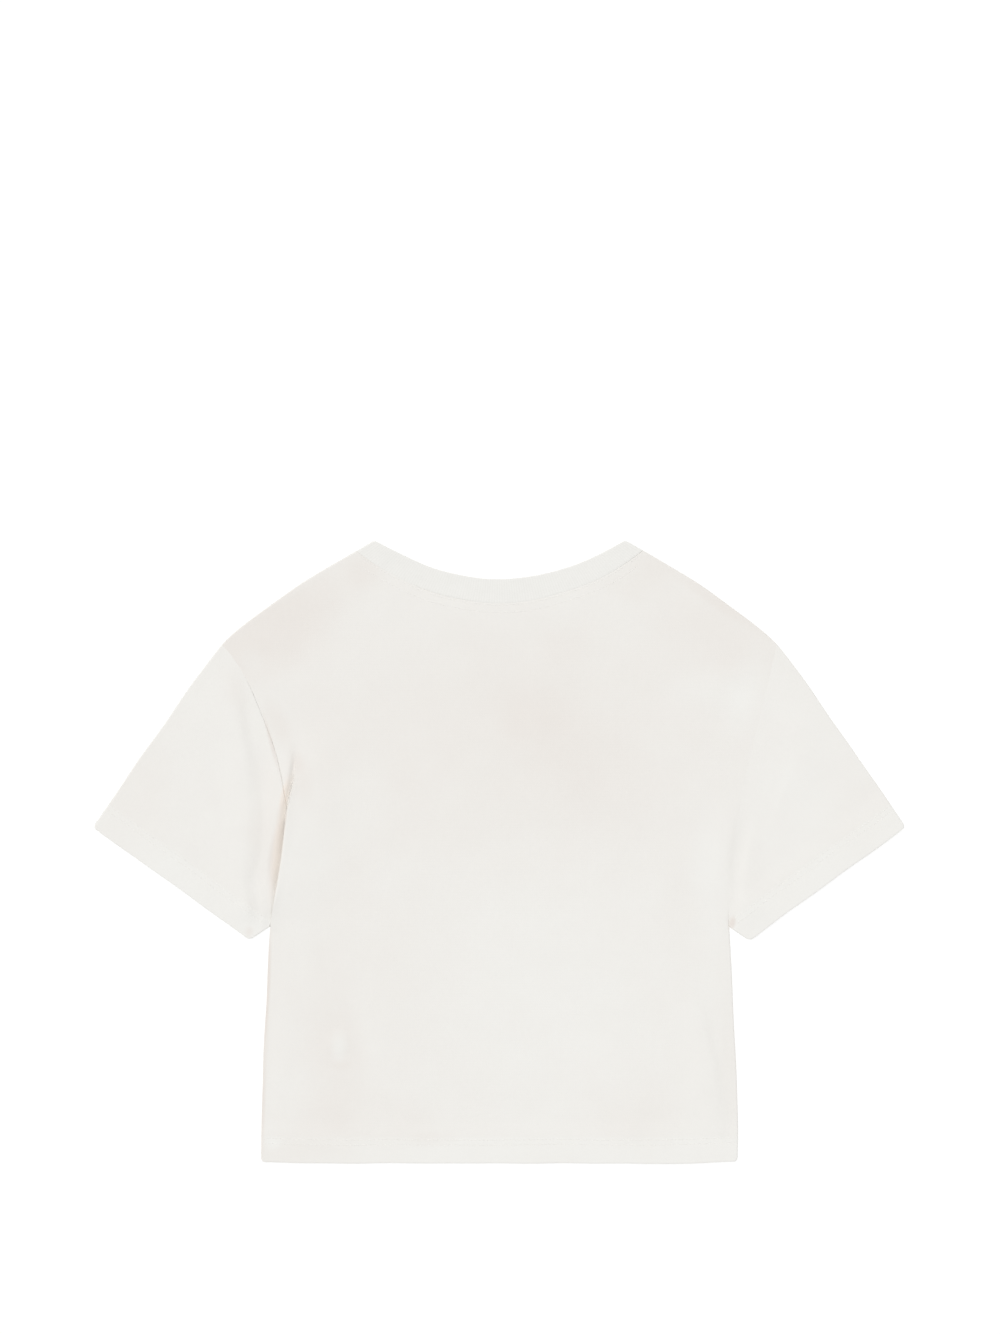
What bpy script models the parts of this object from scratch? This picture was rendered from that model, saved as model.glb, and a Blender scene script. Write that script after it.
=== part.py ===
"""A boxy short-sleeved T-shirt laid flat, back upward.

Units are metres. The shirt lies on the plane z = 0 with its front underneath.
The origin is the middle of its outline on that plane: +Y runs from the hem to
the neck, +Z is up, and +X is the wearer's right, since the shirt lies face down.

Every piece is one cloth wall: an open middle surface given its thickness by
Solidify. The front and the back are single layers, the sleeves are flattened
tubes, and the neck rib is a flattened ring that turns over at the shoulders.
"""

from collections import namedtuple
from math import cos, exp, pi, radians, sin

import bmesh
import bpy
from mathutils import Vector

MM = 0.001

# Cloth
WALL = 1.0 * MM  # thickness of every piece
GAP = 0.3 * MM  # clear space between layers and across each seam
FOLD_REACH = 1.0 * MM  # how far a folded edge's middle surface runs past its layers
FOLD_INSET = FOLD_REACH + WALL / 2  # from the outline to where a folded edge starts

# Shirt, laid flat
LENGTH = 498.0 * MM  # hem to the top of the neck rib

# Places on the right half of the shirt, in millimetres:
# distance from the centre line, and height above the hem
Place = namedtuple("Place", "across up")
HEM_CORNER = Place(190.5, 0.0)
UNDERARM = Place(183.5, 190.0)
SHOULDER_TIP = Place(222.0, 415.5)
NECK_SEAM_END = Place(114.8, 489.8)
NECK_EDGE_END = Place(100.4, 497.4)
CUFF_OUTER = Place(324.0, 268.8)
CUFF_INNER = Place(199.6, 179.0)
BACK_SEAM_CENTRE = Place(0.0, 448.6)
BACK_EDGE_CENTRE = Place(0.0, 467.8)
FRONT_SEAM_CENTRE = Place(0.0, 400.8)
FRONT_EDGE_CENTRE = Place(0.0, 419.8)

# Seams and edges of the right half. Each leaves its start and reaches its end
# at a heading in degrees from +X, with a reach in millimetres that sets how
# long it holds that heading.
Seam = namedtuple("Seam", "start start_heading start_reach end end_heading end_reach")
SIDE = Seam(HEM_CORNER, 89.5, 60, UNDERARM, 93, 60)
ARMHOLE = Seam(UNDERARM, 94, 65, SHOULDER_TIP, 77, 80)
PUCKERED_ARMHOLE = Seam(UNDERARM, 138, 56, SHOULDER_TIP, 44, 53)
SHOULDER = Seam(SHOULDER_TIP, 132, 26, NECK_SEAM_END, 151.5, 34)
SLEEVE_TOP = Seam(SHOULDER_TIP, -46, 17, CUFF_OUTER, -56, 60)
SLEEVE_UNDER = Seam(UNDERARM, -35, 6, CUFF_INNER, -35, 6)
CUFF = Seam(CUFF_INNER, 35.8, 50, CUFF_OUTER, 35.8, 50)
BACK_NECK_SEAM = Seam(NECK_SEAM_END, 218, 36, BACK_SEAM_CENTRE, 180, 45)
BACK_NECK_EDGE = Seam(NECK_EDGE_END, 206, 37, BACK_EDGE_CENTRE, 180, 43)
FRONT_NECK_SEAM = Seam(NECK_SEAM_END, 252, 50, FRONT_SEAM_CENTRE, 180, 62)
FRONT_NECK_EDGE = Seam(NECK_EDGE_END, 252, 42, FRONT_EDGE_CENTRE, 180, 55)

# The left armhole is puckered: the back folds over the sleeve from the underarm
# up to this share of the armhole seam.
PLEAT_TOP_SHARE = 0.5

# Raised folds of the upper layer, in millimetres. Each runs along a straight
# line, falls away smoothly on both sides, and has its place given as across
# (positive on the wearer's right) and up from the hem.
Fold = namedtuple("Fold", "piece across_from up_from across_to up_to half_width height")
FOLDS = (
    Fold("back", -158, 333, -177, 187, 12, 3.5),
    Fold("back", 163, 285, 172, 205, 12, 2.2),
    Fold("back", 164, 120, 180, 30, 11, 1.6),
    Fold("back", -142, 165, -126, 40, 20, 1.8),
    Fold("sleeve_left", -196, 287, -191, 203, 8, 4.6),
    Fold("sleeve_left", -219, 350, -214, 225, 12, 2.4),
    Fold("sleeve_right", 203, 268, 196, 196, 9, 2.6),
)

# How finely each piece is divided
SIDE_STEPS = 9
ARMHOLE_STEPS = 18
SHOULDER_STEPS = 9
NECK_STEPS = 10  # on each half, the same for the panels and the rib
SLEEVE_STEPS = 12
RIB_WIDTH_STEPS = 3
FOLD_STEPS = 4
CLOSER_TO_ARMHOLE = 1.5  # power that crowds the divisions towards the armhole
BEND_POWER = 3  # how late a panel's rows take up the shape of its top edge

# Finish of each piece: sRGB-like cream cotton, given as linear colour
Finish = namedtuple("Finish", "colour roughness")
JERSEY = Finish((0.84, 0.82, 0.78, 1.0), 0.9)
RIB_KNIT = Finish((0.86, 0.84, 0.80, 1.0), 0.85)


def plan(place):
    """The place on the table, in metres from the origin."""
    return Vector((place.across * MM, place.up * MM - LENGTH / 2))


def mirrored(point):
    """The point's twin on the other half of the shirt."""
    return Vector((-point.x, point.y))


def heading_vector(degrees):
    return Vector((cos(radians(degrees)), sin(radians(degrees))))


def seam_point(seam, share, aside=0.0):
    """The point at a share of the seam's length, moved aside to the left of its run."""
    start = plan(seam.start)
    end = plan(seam.end)
    near_start = start + heading_vector(seam.start_heading) * seam.start_reach * MM
    near_end = end - heading_vector(seam.end_heading) * seam.end_reach * MM
    rest = 1.0 - share
    point = start * rest**3 + near_start * 3 * rest**2 * share
    point += near_end * 3 * rest * share**2 + end * share**3
    along = (near_start - start) * rest**2 + (near_end - near_start) * 2 * rest * share
    along += (end - near_end) * share**2
    along.normalize()
    return point + Vector((-along.y, along.x)) * aside


def shares(steps, power=1.0):
    return [(step / steps) ** power for step in range(steps + 1)]


def fold_height(piece, point):
    """How far the piece's folds lift it at a plan point."""
    height = 0.0
    for fold in FOLDS:
        if fold.piece != piece:
            continue
        start = plan(Place(fold.across_from, fold.up_from))
        run = plan(Place(fold.across_to, fold.up_to)) - start
        share = max(0.0, min(1.0, (point - start).dot(run) / run.length_squared))
        distance = (point - start - run * share).length
        height += fold.height * MM * exp(-((distance / (fold.half_width * MM)) ** 2))
    return height


def layer_point(point, layer, piece=None):
    """The plan point on a layer's middle surface, layer 0 lying on the table."""
    height = WALL / 2 + layer * (WALL + GAP)
    if piece is not None:
        height += fold_height(piece, point)
    return Vector((point.x, point.y, height))


def folded_edge(upper, lower, outward):
    """Points round a folded edge, from the upper layer's end to the lower layer's."""
    points = []
    for step in range(1, FOLD_STEPS):
        angle = pi / 2 - pi * step / FOLD_STEPS
        middle = upper.lerp(lower, (1 - sin(angle)) / 2)
        points.append(middle + outward * FOLD_REACH * cos(angle))
    return points


def cloth(name, rows, finish, collection, is_tube=False):
    """A cloth wall through equal rows of points; a tube joins each row's two ends."""
    if is_tube:
        rows = [row + row[:1] for row in rows]
    mesh_builder = bmesh.new()
    bmesh.ops.create_grid(
        mesh_builder, x_segments=len(rows[0]) - 1, y_segments=len(rows) - 1, size=1.0
    )
    points = [point for row in rows for point in row]
    for vertex, point in zip(mesh_builder.verts, points):
        vertex.co = point
    bmesh.ops.remove_doubles(mesh_builder, verts=mesh_builder.verts, dist=0.01 * MM)
    bmesh.ops.recalc_face_normals(mesh_builder, faces=mesh_builder.faces)
    mesh = bpy.data.meshes.new(name)
    mesh_builder.to_mesh(mesh)
    mesh_builder.free()
    mesh.shade_smooth()
    mesh.set_sharp_from_angle(angle=radians(50))
    mesh.materials.append(material(name, finish))
    piece = bpy.data.objects.new(name, mesh)
    collection.objects.link(piece)
    wall = piece.modifiers.new("Wall", "SOLIDIFY")
    wall.thickness = WALL
    wall.offset = 0.0
    return piece


def material(name, finish):
    made = bpy.data.materials.new(name)
    made.use_nodes = True
    shader = made.node_tree.nodes["Principled BSDF"]
    shader.inputs["Base Color"].default_value = finish.colour
    shader.inputs["Roughness"].default_value = finish.roughness
    shader.inputs["Metallic"].default_value = 0.0
    made.diffuse_color = finish.colour
    return made


def right_edge():
    """A panel's right edge, from the hem up the side and the armhole."""
    edge = [seam_point(SIDE, share) for share in shares(SIDE_STEPS)[:-1]]
    edge += [seam_point(ARMHOLE, share, GAP / 2) for share in shares(ARMHOLE_STEPS)]
    return edge


def puckered_edge():
    """The back's left edge: it folds over the sleeve below the pleat's top."""
    edge = [mirrored(seam_point(SIDE, share)) for share in shares(SIDE_STEPS)[:-1]]
    underarm = seam_point(ARMHOLE, 0.0, GAP / 2)
    pleat_top = seam_point(PUCKERED_ARMHOLE, PLEAT_TOP_SHARE, GAP / 2)
    for share in shares(ARMHOLE_STEPS):
        if share < PLEAT_TOP_SHARE:
            point = underarm.lerp(pleat_top, share / PLEAT_TOP_SHARE)
        else:
            point = seam_point(PUCKERED_ARMHOLE, share, GAP / 2)
        edge.append(mirrored(point))
    return edge


def neck_shares():
    """Shares of half the neck: the rib turns over at the first, near the shoulder."""
    turn = FOLD_INSET / (NECK_EDGE_END.across * MM)
    return [turn] + shares(NECK_STEPS)[1:]


def top_edge(left_tip, right_tip, neck_seam):
    """A panel's top edge from left to right: shoulder, neck seam, shoulder."""
    half = [seam_point(SHOULDER, share) for share in shares(SHOULDER_STEPS, 1.6)[1:-1]]
    half += [seam_point(neck_seam, share, GAP / 2) for share in [0.0] + neck_shares()]
    centre = half.pop()
    left = [mirrored(point) for point in half]
    return [left_tip] + left + [centre] + half[::-1] + [right_tip]


def panel(name, left, right, neck_seam, layer, collection):
    """A front or back: rows from the hem up that bend into the top edge."""
    top = top_edge(left[-1], right[-1], neck_seam)
    span = right[-1] - left[-1]
    columns = [(point - left[-1]).x / span.x for point in top]
    rows = []
    for row_left, row_right in zip(left, right):
        rise = (row_left.y - left[0].y) / (left[-1].y - left[0].y)
        row = []
        for column, top_point in zip(columns, top):
            bend = (top_point - left[-1] - span * column) * rise**BEND_POWER
            point = row_left.lerp(row_right, column) + bend
            row.append(layer_point(point, layer, name))
        rows.append(row)
    return cloth(name, rows, JERSEY, collection)


def sleeve_plan(share, along):
    """A sleeve's plan point: share from underarm to shoulder, along towards the cuff."""
    armhole = seam_point(ARMHOLE, share)
    clearance = seam_point(ARMHOLE, share, -GAP / 2) - armhole
    across = armhole * (1 - along) + seam_point(CUFF, share) * along
    lengthwise = seam_point(SLEEVE_UNDER, along) * (1 - share)
    lengthwise += seam_point(SLEEVE_TOP, along) * share
    corners = (plan(UNDERARM) * (1 - share) + plan(SHOULDER_TIP) * share) * (1 - along)
    corners += (plan(CUFF_INNER) * (1 - share) + plan(CUFF_OUTER) * share) * along
    return across + lengthwise - corners + clearance * (1 - along)


def pucker(share):
    """How far the puckered seam lies from the plain one, at a share of the armhole."""
    puckered = seam_point(PUCKERED_ARMHOLE, share, -GAP / 2)
    return puckered - seam_point(ARMHOLE, share, -GAP / 2)


def sleeve(name, side, is_puckered, collection):
    """A flattened tube; side is +1 on the wearer's right and -1 on the left."""
    rows = []
    for along in shares(SLEEVE_STEPS, CLOSER_TO_ARMHOLE):
        width = (sleeve_plan(1.0, along) - sleeve_plan(0.0, along)).length
        inset = FOLD_INSET / width
        across = shares(ARMHOLE_STEPS)
        across[0] = inset
        across[-1] = 1.0 - inset
        lower = [sleeve_plan(share, along) for share in across]
        upper = [point.copy() for point in lower]
        if is_puckered:
            for place in range(1, ARMHOLE_STEPS):
                upper[place] += pucker(across[place]) * (1 - along) ** 2
        under_outward = (sleeve_plan(0.0, along) - lower[0]).normalized()
        top_outward = (sleeve_plan(1.0, along) - lower[-1]).normalized()
        ends = [Vector((side * way.x, way.y, 0)) for way in (under_outward, top_outward)]
        lower = [layer_point(Vector((side * p.x, p.y)), 0) for p in lower]
        upper = [layer_point(Vector((side * p.x, p.y)), 1, name) for p in upper]
        over_top = folded_edge(upper[-1], lower[-1], ends[1])
        under_arm = folded_edge(upper[0], lower[0], ends[0])
        rows.append(upper + over_top + lower[::-1] + under_arm[::-1])
    return cloth(name, rows, JERSEY, collection, is_tube=True)


def rib_rungs(neck_seam, neck_edge):
    """Plan points across the rib, rung by rung from the left shoulder to the right."""
    rungs = []
    for share in neck_shares():
        seam_end = seam_point(neck_seam, share, -GAP / 2)
        edge_end = seam_point(neck_edge, share)
        rungs.append([seam_end.lerp(edge_end, across) for across in shares(RIB_WIDTH_STEPS)])
    left = [[mirrored(point) for point in rung] for rung in rungs]
    return left + rungs[-2::-1]


def neck_rib(collection):
    """A flattened ring: across the back, over a shoulder, and back under the front."""
    back = rib_rungs(BACK_NECK_SEAM, BACK_NECK_EDGE)
    front = rib_rungs(FRONT_NECK_SEAM, FRONT_NECK_EDGE)
    front = back[:1] + front[1:-1] + back[-1:]
    shoulder_run = plan(NECK_SEAM_END) - plan(NECK_EDGE_END)
    right_way = Vector((-shoulder_run.y, shoulder_run.x, 0)).normalized()
    left_way = Vector((-right_way.x, right_way.y, 0))
    rings = []
    for place in range(RIB_WIDTH_STEPS + 1):
        upper = [layer_point(rung[place], 1) for rung in back]
        lower = [layer_point(rung[place], 0) for rung in front]
        over_right = folded_edge(upper[-1], lower[-1], right_way)
        over_left = folded_edge(upper[0], lower[0], left_way)
        rings.append(upper + over_right + lower[::-1] + over_left[::-1])
    return cloth("neck_rib", rings, RIB_KNIT, collection, is_tube=True)


def main():
    for item in list(bpy.data.objects):
        bpy.data.objects.remove(item, do_unlink=True)
    collection = bpy.data.collections.new("tshirt_laid_flat")
    bpy.context.scene.collection.children.link(collection)
    right = right_edge()
    left = [mirrored(point) for point in right]
    panel("front", left, right, FRONT_NECK_SEAM, 0, collection)
    panel("back", puckered_edge(), right, BACK_NECK_SEAM, 1, collection)
    sleeve("sleeve_left", -1, True, collection)
    sleeve("sleeve_right", 1, False, collection)
    neck_rib(collection)


main()
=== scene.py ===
"""The looks of a boxy short-sleeved T-shirt laid flat, back upward.

Sizes are in millimetres. A spot on the shirt is given as `across`, from the centre
line and positive on the wearer's right, and `up`, from the hem towards the neck.
Heights are above the table. They become metres where a mesh or a lamp is made.
"""

import logging
import math
from collections.abc import Sequence
from dataclasses import dataclass
from enum import Enum
from typing import NamedTuple

import bmesh
import bpy
import numpy as np
from bpy.types import Material, Node, NodeSocket, NodeTree, Object
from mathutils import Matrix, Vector


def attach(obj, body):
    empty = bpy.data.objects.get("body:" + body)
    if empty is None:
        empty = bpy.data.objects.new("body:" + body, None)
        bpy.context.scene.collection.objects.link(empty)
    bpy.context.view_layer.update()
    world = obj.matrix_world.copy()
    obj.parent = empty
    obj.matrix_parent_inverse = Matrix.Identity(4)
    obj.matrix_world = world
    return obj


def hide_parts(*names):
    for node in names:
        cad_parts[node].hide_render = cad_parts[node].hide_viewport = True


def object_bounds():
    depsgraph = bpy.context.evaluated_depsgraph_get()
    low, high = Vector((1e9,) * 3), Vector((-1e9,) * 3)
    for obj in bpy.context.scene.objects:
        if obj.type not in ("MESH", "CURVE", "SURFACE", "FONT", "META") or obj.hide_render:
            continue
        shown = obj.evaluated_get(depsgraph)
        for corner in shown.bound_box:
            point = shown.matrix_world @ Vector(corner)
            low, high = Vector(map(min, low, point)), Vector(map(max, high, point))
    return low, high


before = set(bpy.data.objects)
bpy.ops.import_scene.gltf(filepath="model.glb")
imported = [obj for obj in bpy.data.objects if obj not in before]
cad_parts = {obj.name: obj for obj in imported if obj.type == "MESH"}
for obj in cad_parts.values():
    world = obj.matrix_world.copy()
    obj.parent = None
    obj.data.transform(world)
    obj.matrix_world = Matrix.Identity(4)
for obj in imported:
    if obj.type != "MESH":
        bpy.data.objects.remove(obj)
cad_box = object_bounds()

log = logging.getLogger("tshirt")

Array = np.ndarray
MM = 0.001
HEM_Y = cad_box[0].y  # where the hem lies in the frame, in metres

# Cloth and sewing
JERSEY = 0.9  # thickness of one layer of jersey
HEM_EXTRA = 0.5  # what a turned-up hem adds to it
HEM_STEP = 1.2  # how far before and past a hem's edge the cloth steps down from it
RIB = 1.3  # thickness of the doubled rib
LAYER_GAP = 0.1  # air between layers that lie on each other
FLOOR_GAP = 0.16  # air under the shirt, which its lower stitches take up
SEAM_GAP = 0.03  # half the line where two rolled edges meet
ROLL = 1.1  # how far an edge takes to roll down to its seam
INNER_ROLL = 0.4  # the same for the cloth's inner face
FOLD = 1.1  # how far from a hem's fold its two faces draw together
RIM = 0.25  # share of a fold's thickness left upright by its rounding
HEM_WIDTH = 20.5
CUFF_WIDTH = 22.5
BAND = 18.0  # width of the neck rib
HEM_ROWS = (15.0, 19.0)  # twin rows of stitches, from the edge
CUFF_ROWS = (17.5, 21.5)
NECK_ROWS = (1.5, 7.5)  # from the neck seam
ROW_STEP = 0.8  # between the points that a row of stitches follows
ROW_END = 3.0  # how far a row stops from a seam that crosses it
BLEND = 16.0  # how far from a hem the cloth over it still lies higher

# How far from a line its distance is worked out
NEAR = 4.0  # round an edge or a seam
FAR = 400.0  # across the whole shirt


class Layer(Enum):
    """Which of the two layers of a shirt laid flat, as the side it faces."""

    UPPER = 1
    LOWER = -1


def quarter_round(distance: Array, radius: float) -> Array:
    """A share that rises in a soft round from 0 at an edge to 1 at the radius."""
    short = np.clip(1.0 - distance / radius, 0.0, 1.0)
    return (1.0 - short**2) ** 0.65


def smooth(value: Array) -> Array:
    """A share eased in and out, held at 0 below 0 and at 1 above 1."""
    share = np.clip(value, 0.0, 1.0)
    return share * share * (3.0 - 2.0 * share)


def ramp(value: Array, start: float, end: float) -> Array:
    """A share eased from 0 where the value is at the start to 1 at the end."""
    return smooth((value - start) / (end - start))


def bell(distance: Array, width: float) -> Array:
    """A share that falls softly from 1 on a line to about a third at the width."""
    return np.exp(-((distance / width) ** 2))


def heading(degrees: float) -> Array:
    """The unit vector at an angle from the across direction."""
    return np.array((math.cos(math.radians(degrees)), math.sin(math.radians(degrees))))


def unit(vectors: Array) -> Array:
    """The vectors at a length of one."""
    return vectors / np.linalg.norm(vectors, axis=-1, keepdims=True)


def on_right(spots: Array) -> Array:
    """The spots, or their twins on the right half where they are on the left."""
    return np.stack((np.abs(spots[..., 0]), spots[..., 1]), -1)


class Place(NamedTuple):
    """A spot on the laid shirt."""

    across: float
    up: float


class Line:
    """A line held as close points and measured along its length."""

    def __init__(self, points: Array) -> None:
        """Measures the line.

        Args:
            points: Close points along it.
        """
        self.points = points
        self.marks = np.append(0.0, np.cumsum(np.linalg.norm(np.diff(points, axis=0), axis=1)))
        self.length = float(self.marks[-1])

    @classmethod
    def through(cls, places: Sequence[tuple[float, float]], steps: int = 8) -> "Line":
        """A smooth line through places, by Catmull-Rom spans.

        Args:
            places: Two or more places, in order.
            steps: Points made on each span.

        Returns:
            The line.
        """
        knots = np.array(places)
        knots = np.vstack((2 * knots[0] - knots[1], knots, 2 * knots[-1] - knots[-2]))
        share = np.linspace(0.0, 1.0, steps, endpoint=False)[:, None]
        spans = []
        for first, second, third, fourth in zip(knots, knots[1:], knots[2:], knots[3:]):
            bend = 2 * first - 5 * second + 4 * third - fourth
            twist = 3 * (second - third) + fourth - first
            spans.append(second + 0.5 * share * (third - first + share * (bend + share * twist)))
        return cls(np.vstack((*spans, knots[-2:-1])))

    @classmethod
    def joined(cls, *lines: "Line") -> "Line":
        """Puts lines together, end to end.

        Args:
            *lines: The lines, in order.

        Returns:
            One line through all of them.
        """
        points = np.vstack([line.points for line in lines])
        moved = np.linalg.norm(np.diff(points, axis=0), axis=1) > 1e-6
        return cls(points[np.append(True, moved)])

    def mirrored(self) -> "Line":
        """The line's twin on the other half of the shirt."""
        return Line(self.points * (-1.0, 1.0))

    def reversed(self) -> "Line":
        """The same line run the other way."""
        return Line(self.points[::-1])

    def above(self, up: float) -> "Line":
        """The part of the line above a level."""
        return Line(self.points[self.points[:, 1] > up])

    def at(self, marks: Array) -> Array:
        """The points at these lengths along the line."""
        return np.stack([np.interp(marks, self.marks, axis) for axis in self.points.T], -1)

    def beside(self, marks: Array, aside: float) -> Array:
        """Spots at these lengths, moved aside to the left of the line's run."""
        run = unit(self.at(marks + 0.5) - self.at(marks - 0.5))
        return self.at(marks) + aside * np.stack((-run[..., 1], run[..., 0]), -1)

    def follow(self, spots: Array, reach: float) -> tuple[Array, Array, Array]:
        """How each spot lies to the line.

        Args:
            spots: The spots, with across and up last.
            reach: Distances beyond this are not worked out, and read as this.

        Returns:
            The distance, the share of the length at the nearest point, and the side:
            1 on the left of the run and -1 on the right.
        """
        flat = spots.reshape(-1, 2)
        low, high = self.points.min(0) - reach, self.points.max(0) + reach
        near = np.flatnonzero(((flat > low) & (flat < high)).all(1))
        close = flat[near]
        best = np.full(len(close), float(reach))
        mark = np.zeros(len(close))
        side = np.ones(len(close))
        for start, end, begun in zip(self.points, self.points[1:], self.marks):
            run = end - start
            offset = close - start
            share = np.clip(offset @ run / (run @ run), 0.0, 1.0)
            apart = offset - share[:, None] * run
            distance = np.hypot(apart[:, 0], apart[:, 1])
            won = distance < best
            best[won] = distance[won]
            mark[won] = begun + share[won] * np.linalg.norm(run)
            turn = run[0] * offset[:, 1] - run[1] * offset[:, 0]
            side[won] = np.where(turn[won] >= 0, 1.0, -1.0)
        results = []
        for value, default in ((best, reach), (mark / self.length, 0.0), (side, 1.0)):
            whole = np.full(len(flat), float(default))
            whole[near] = value
            results.append(whole.reshape(spots.shape[:-1]))
        return tuple(results)

    def distance(self, spots: Array, reach: float = 30.0) -> Array:
        """How far each spot is from the line, up to the reach."""
        return self.follow(spots, reach)[0]


def seam(
    start: Place, start_heading: float, start_reach: float, end: Place, end_heading: float, end_reach: float
) -> Line:
    """A cubic curve that leaves its start and reaches its end at given headings.

    Args:
        start: Where it starts.
        start_heading: Its direction there, in degrees from across.
        start_reach: How strongly it holds that direction.
        end: Where it ends.
        end_heading: Its direction there.
        end_reach: How strongly it holds that direction.

    Returns:
        The curve as a line.
    """
    share = np.linspace(0.0, 1.0, 49)[:, None]
    rest = 1.0 - share
    near_start = start + heading(start_heading) * start_reach
    near_end = end - heading(end_heading) * end_reach
    points = start * rest**3 + near_start * 3 * rest**2 * share
    return Line(points + near_end * 3 * rest * share**2 + end * share**3)


# Places on the right half of the shirt
HEM_CORNER = Place(190.5, 0.0)
UNDERARM = Place(183.5, 190.0)
PLEAT_TOP = Place(169.8, 284.3)
SHOULDER_TIP = Place(222.0, 415.5)
NECK_SEAM_END = Place(114.8, 490.3)
NECK_EDGE_END = Place(100.4, 498.5)
CUFF_OUTER = Place(325.0, 269.5)
CUFF_INNER = Place(199.6, 179.0)
BACK_SEAM_CENTRE = Place(0.0, 448.6)
BACK_EDGE_CENTRE = Place(0.0, 467.8)
FRONT_SEAM_CENTRE = Place(0.0, 400.8)
FRONT_EDGE_CENTRE = Place(0.0, 419.8)

# Seams and edges of the right half
CUFF_HEADING = 35.8
SIDE = seam(HEM_CORNER, 89.5, 60, UNDERARM, 93, 60)
ARMHOLE = seam(UNDERARM, 94, 65, SHOULDER_TIP, 77, 80)
PUCKERED_ARMHOLE = seam(UNDERARM, 138, 56, SHOULDER_TIP, 44, 53)
PLEAT_EDGE = seam(UNDERARM, 98, 40, PLEAT_TOP, 96, 44)
PLEAT_FLAP = seam(UNDERARM, 112, 40, PLEAT_TOP, 81, 30)
SHOULDER = seam(SHOULDER_TIP, 132, 26, NECK_SEAM_END, 151.5, 34)
SLEEVE_TOP = seam(SHOULDER_TIP, -46, 17, CUFF_OUTER, -55, 60)
SLEEVE_UNDER = seam(UNDERARM, -35, 6, CUFF_INNER, -35, 6)
CUFF = seam(CUFF_INNER, CUFF_HEADING, 50, CUFF_OUTER, CUFF_HEADING, 50)
RIB_TURN = Line.through((NECK_SEAM_END, NECK_EDGE_END))


def across_body(half: Line) -> Line:
    """The whole line from left to right, given its right half from its outer end."""
    return Line.joined(half.mirrored(), half.reversed())


BACK_NECK_SEAM = across_body(seam(NECK_SEAM_END, 218, 36, BACK_SEAM_CENTRE, 180, 45))
BACK_NECK_EDGE = across_body(seam(NECK_EDGE_END, 207.5, 37, BACK_EDGE_CENTRE, 180, 43))
FRONT_NECK_SEAM = across_body(seam(NECK_SEAM_END, 252, 50, FRONT_SEAM_CENTRE, 180, 62))
FRONT_NECK_EDGE = across_body(seam(NECK_EDGE_END, 252, 42, FRONT_EDGE_CENTRE, 180, 55))


def graded(length: float, step: float, bands: Sequence[tuple[float, float]]) -> Array:
    """Positions along a length, closest at its ends.

    Args:
        length: The length to divide.
        step: The widest step, used away from the ends.
        bands: For the start and for the end, how wide a band is kept fine and how
            fine it is.

    Returns:
        Positions from 0 to the length.
    """
    places = np.linspace(0.0, length, 8001)
    widest = np.full(places.shape, float(step))
    for inward, (band, fine) in zip((places, length - places), bands):
        past_band = fine + 0.12 * np.maximum(inward - band, 0.0)  # growing slowly
        at_rim = 0.16 + 0.34 * inward  # finest of all, to carry the rounding
        widest = np.minimum(widest, np.minimum(past_band, at_rim))
    counted = np.append(0.0, np.cumsum(np.diff(places) / widest[1:]))
    wanted = np.linspace(0.0, counted[-1], math.ceil(counted[-1]) + 1)
    return np.interp(wanted, counted, places)


def corner_rounded(spots: Array, corner: Place, first: float, second: float, radius: float) -> Array:
    """Spots near a corner, drawn in so that the corner is an arc.

    Args:
        spots: Spots of a piece that has the corner.
        corner: The corner.
        first: Heading of one edge, leading away from the corner.
        second: Heading of the other edge, leading away from the corner.
        radius: How far from the corner each edge starts to turn.

    Returns:
        The spots, moved where they are near the corner.
    """
    axes = np.column_stack((heading(first), heading(second)))
    inward = (spots - corner) @ np.linalg.inv(axes).T
    left = 1.0 - inward / radius
    drawn = left.max(-1) / np.maximum(np.linalg.norm(left, axis=-1), 1e-9)
    drawn = np.where((left > 0.0).all(-1), drawn, 1.0)
    inward = (1.0 - left * drawn[..., None]) * radius
    return corner + inward @ axes.T


@dataclass(frozen=True)
class Ripples:
    """An even field of gentle waves that run in every direction."""

    seed: int
    wavelength: float
    height: float
    count: int = 11

    def lift(self, spots: Array) -> Array:
        """The waves' height, both above and below zero.

        Args:
            spots: The spots.

        Returns:
            The height at each spot.
        """
        dice = np.random.default_rng(self.seed)
        total = np.zeros(spots.shape[:-1])
        for _ in range(self.count):
            way = heading(dice.uniform(0.0, 360.0))
            length = self.wavelength * dice.uniform(0.65, 1.5)
            total += np.sin(2 * math.pi * (spots @ way) / length + dice.uniform(0.0, 6.3))
        return self.height * total / math.sqrt(self.count / 2)


@dataclass(frozen=True)
class Crease:
    """A soft ridge, or a trough where its height is negative."""

    pieces: tuple[str, ...]
    path: tuple[tuple[float, float], ...]
    width: float  # how far from its line it has mostly fallen away
    height: float
    fades: tuple[float, float] = (0.4, 0.4)  # shares of the path over which its ends fade
    lean: float = 0.0  # wider on the left of its run, and narrower on the right

    def lift(self, spots: Array) -> Array:
        """The crease's height.

        Args:
            spots: The spots.

        Returns:
            The height at each spot.
        """
        distance, share, side = Line.through(self.path).follow(spots, 3 * self.width)
        uneven = 1.0 + 0.18 * np.sin(9.0 * share + self.path[0][1])  # wider here, narrower there
        width = self.width * uneven * (1.0 + self.lean * side)
        start, end = (max(fade, 1e-3) for fade in self.fades)
        fade = smooth(share / start + (self.fades[0] == 0)) * smooth((1 - share) / end + (self.fades[1] == 0))
        return self.height * fade * bell(distance, width)


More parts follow.
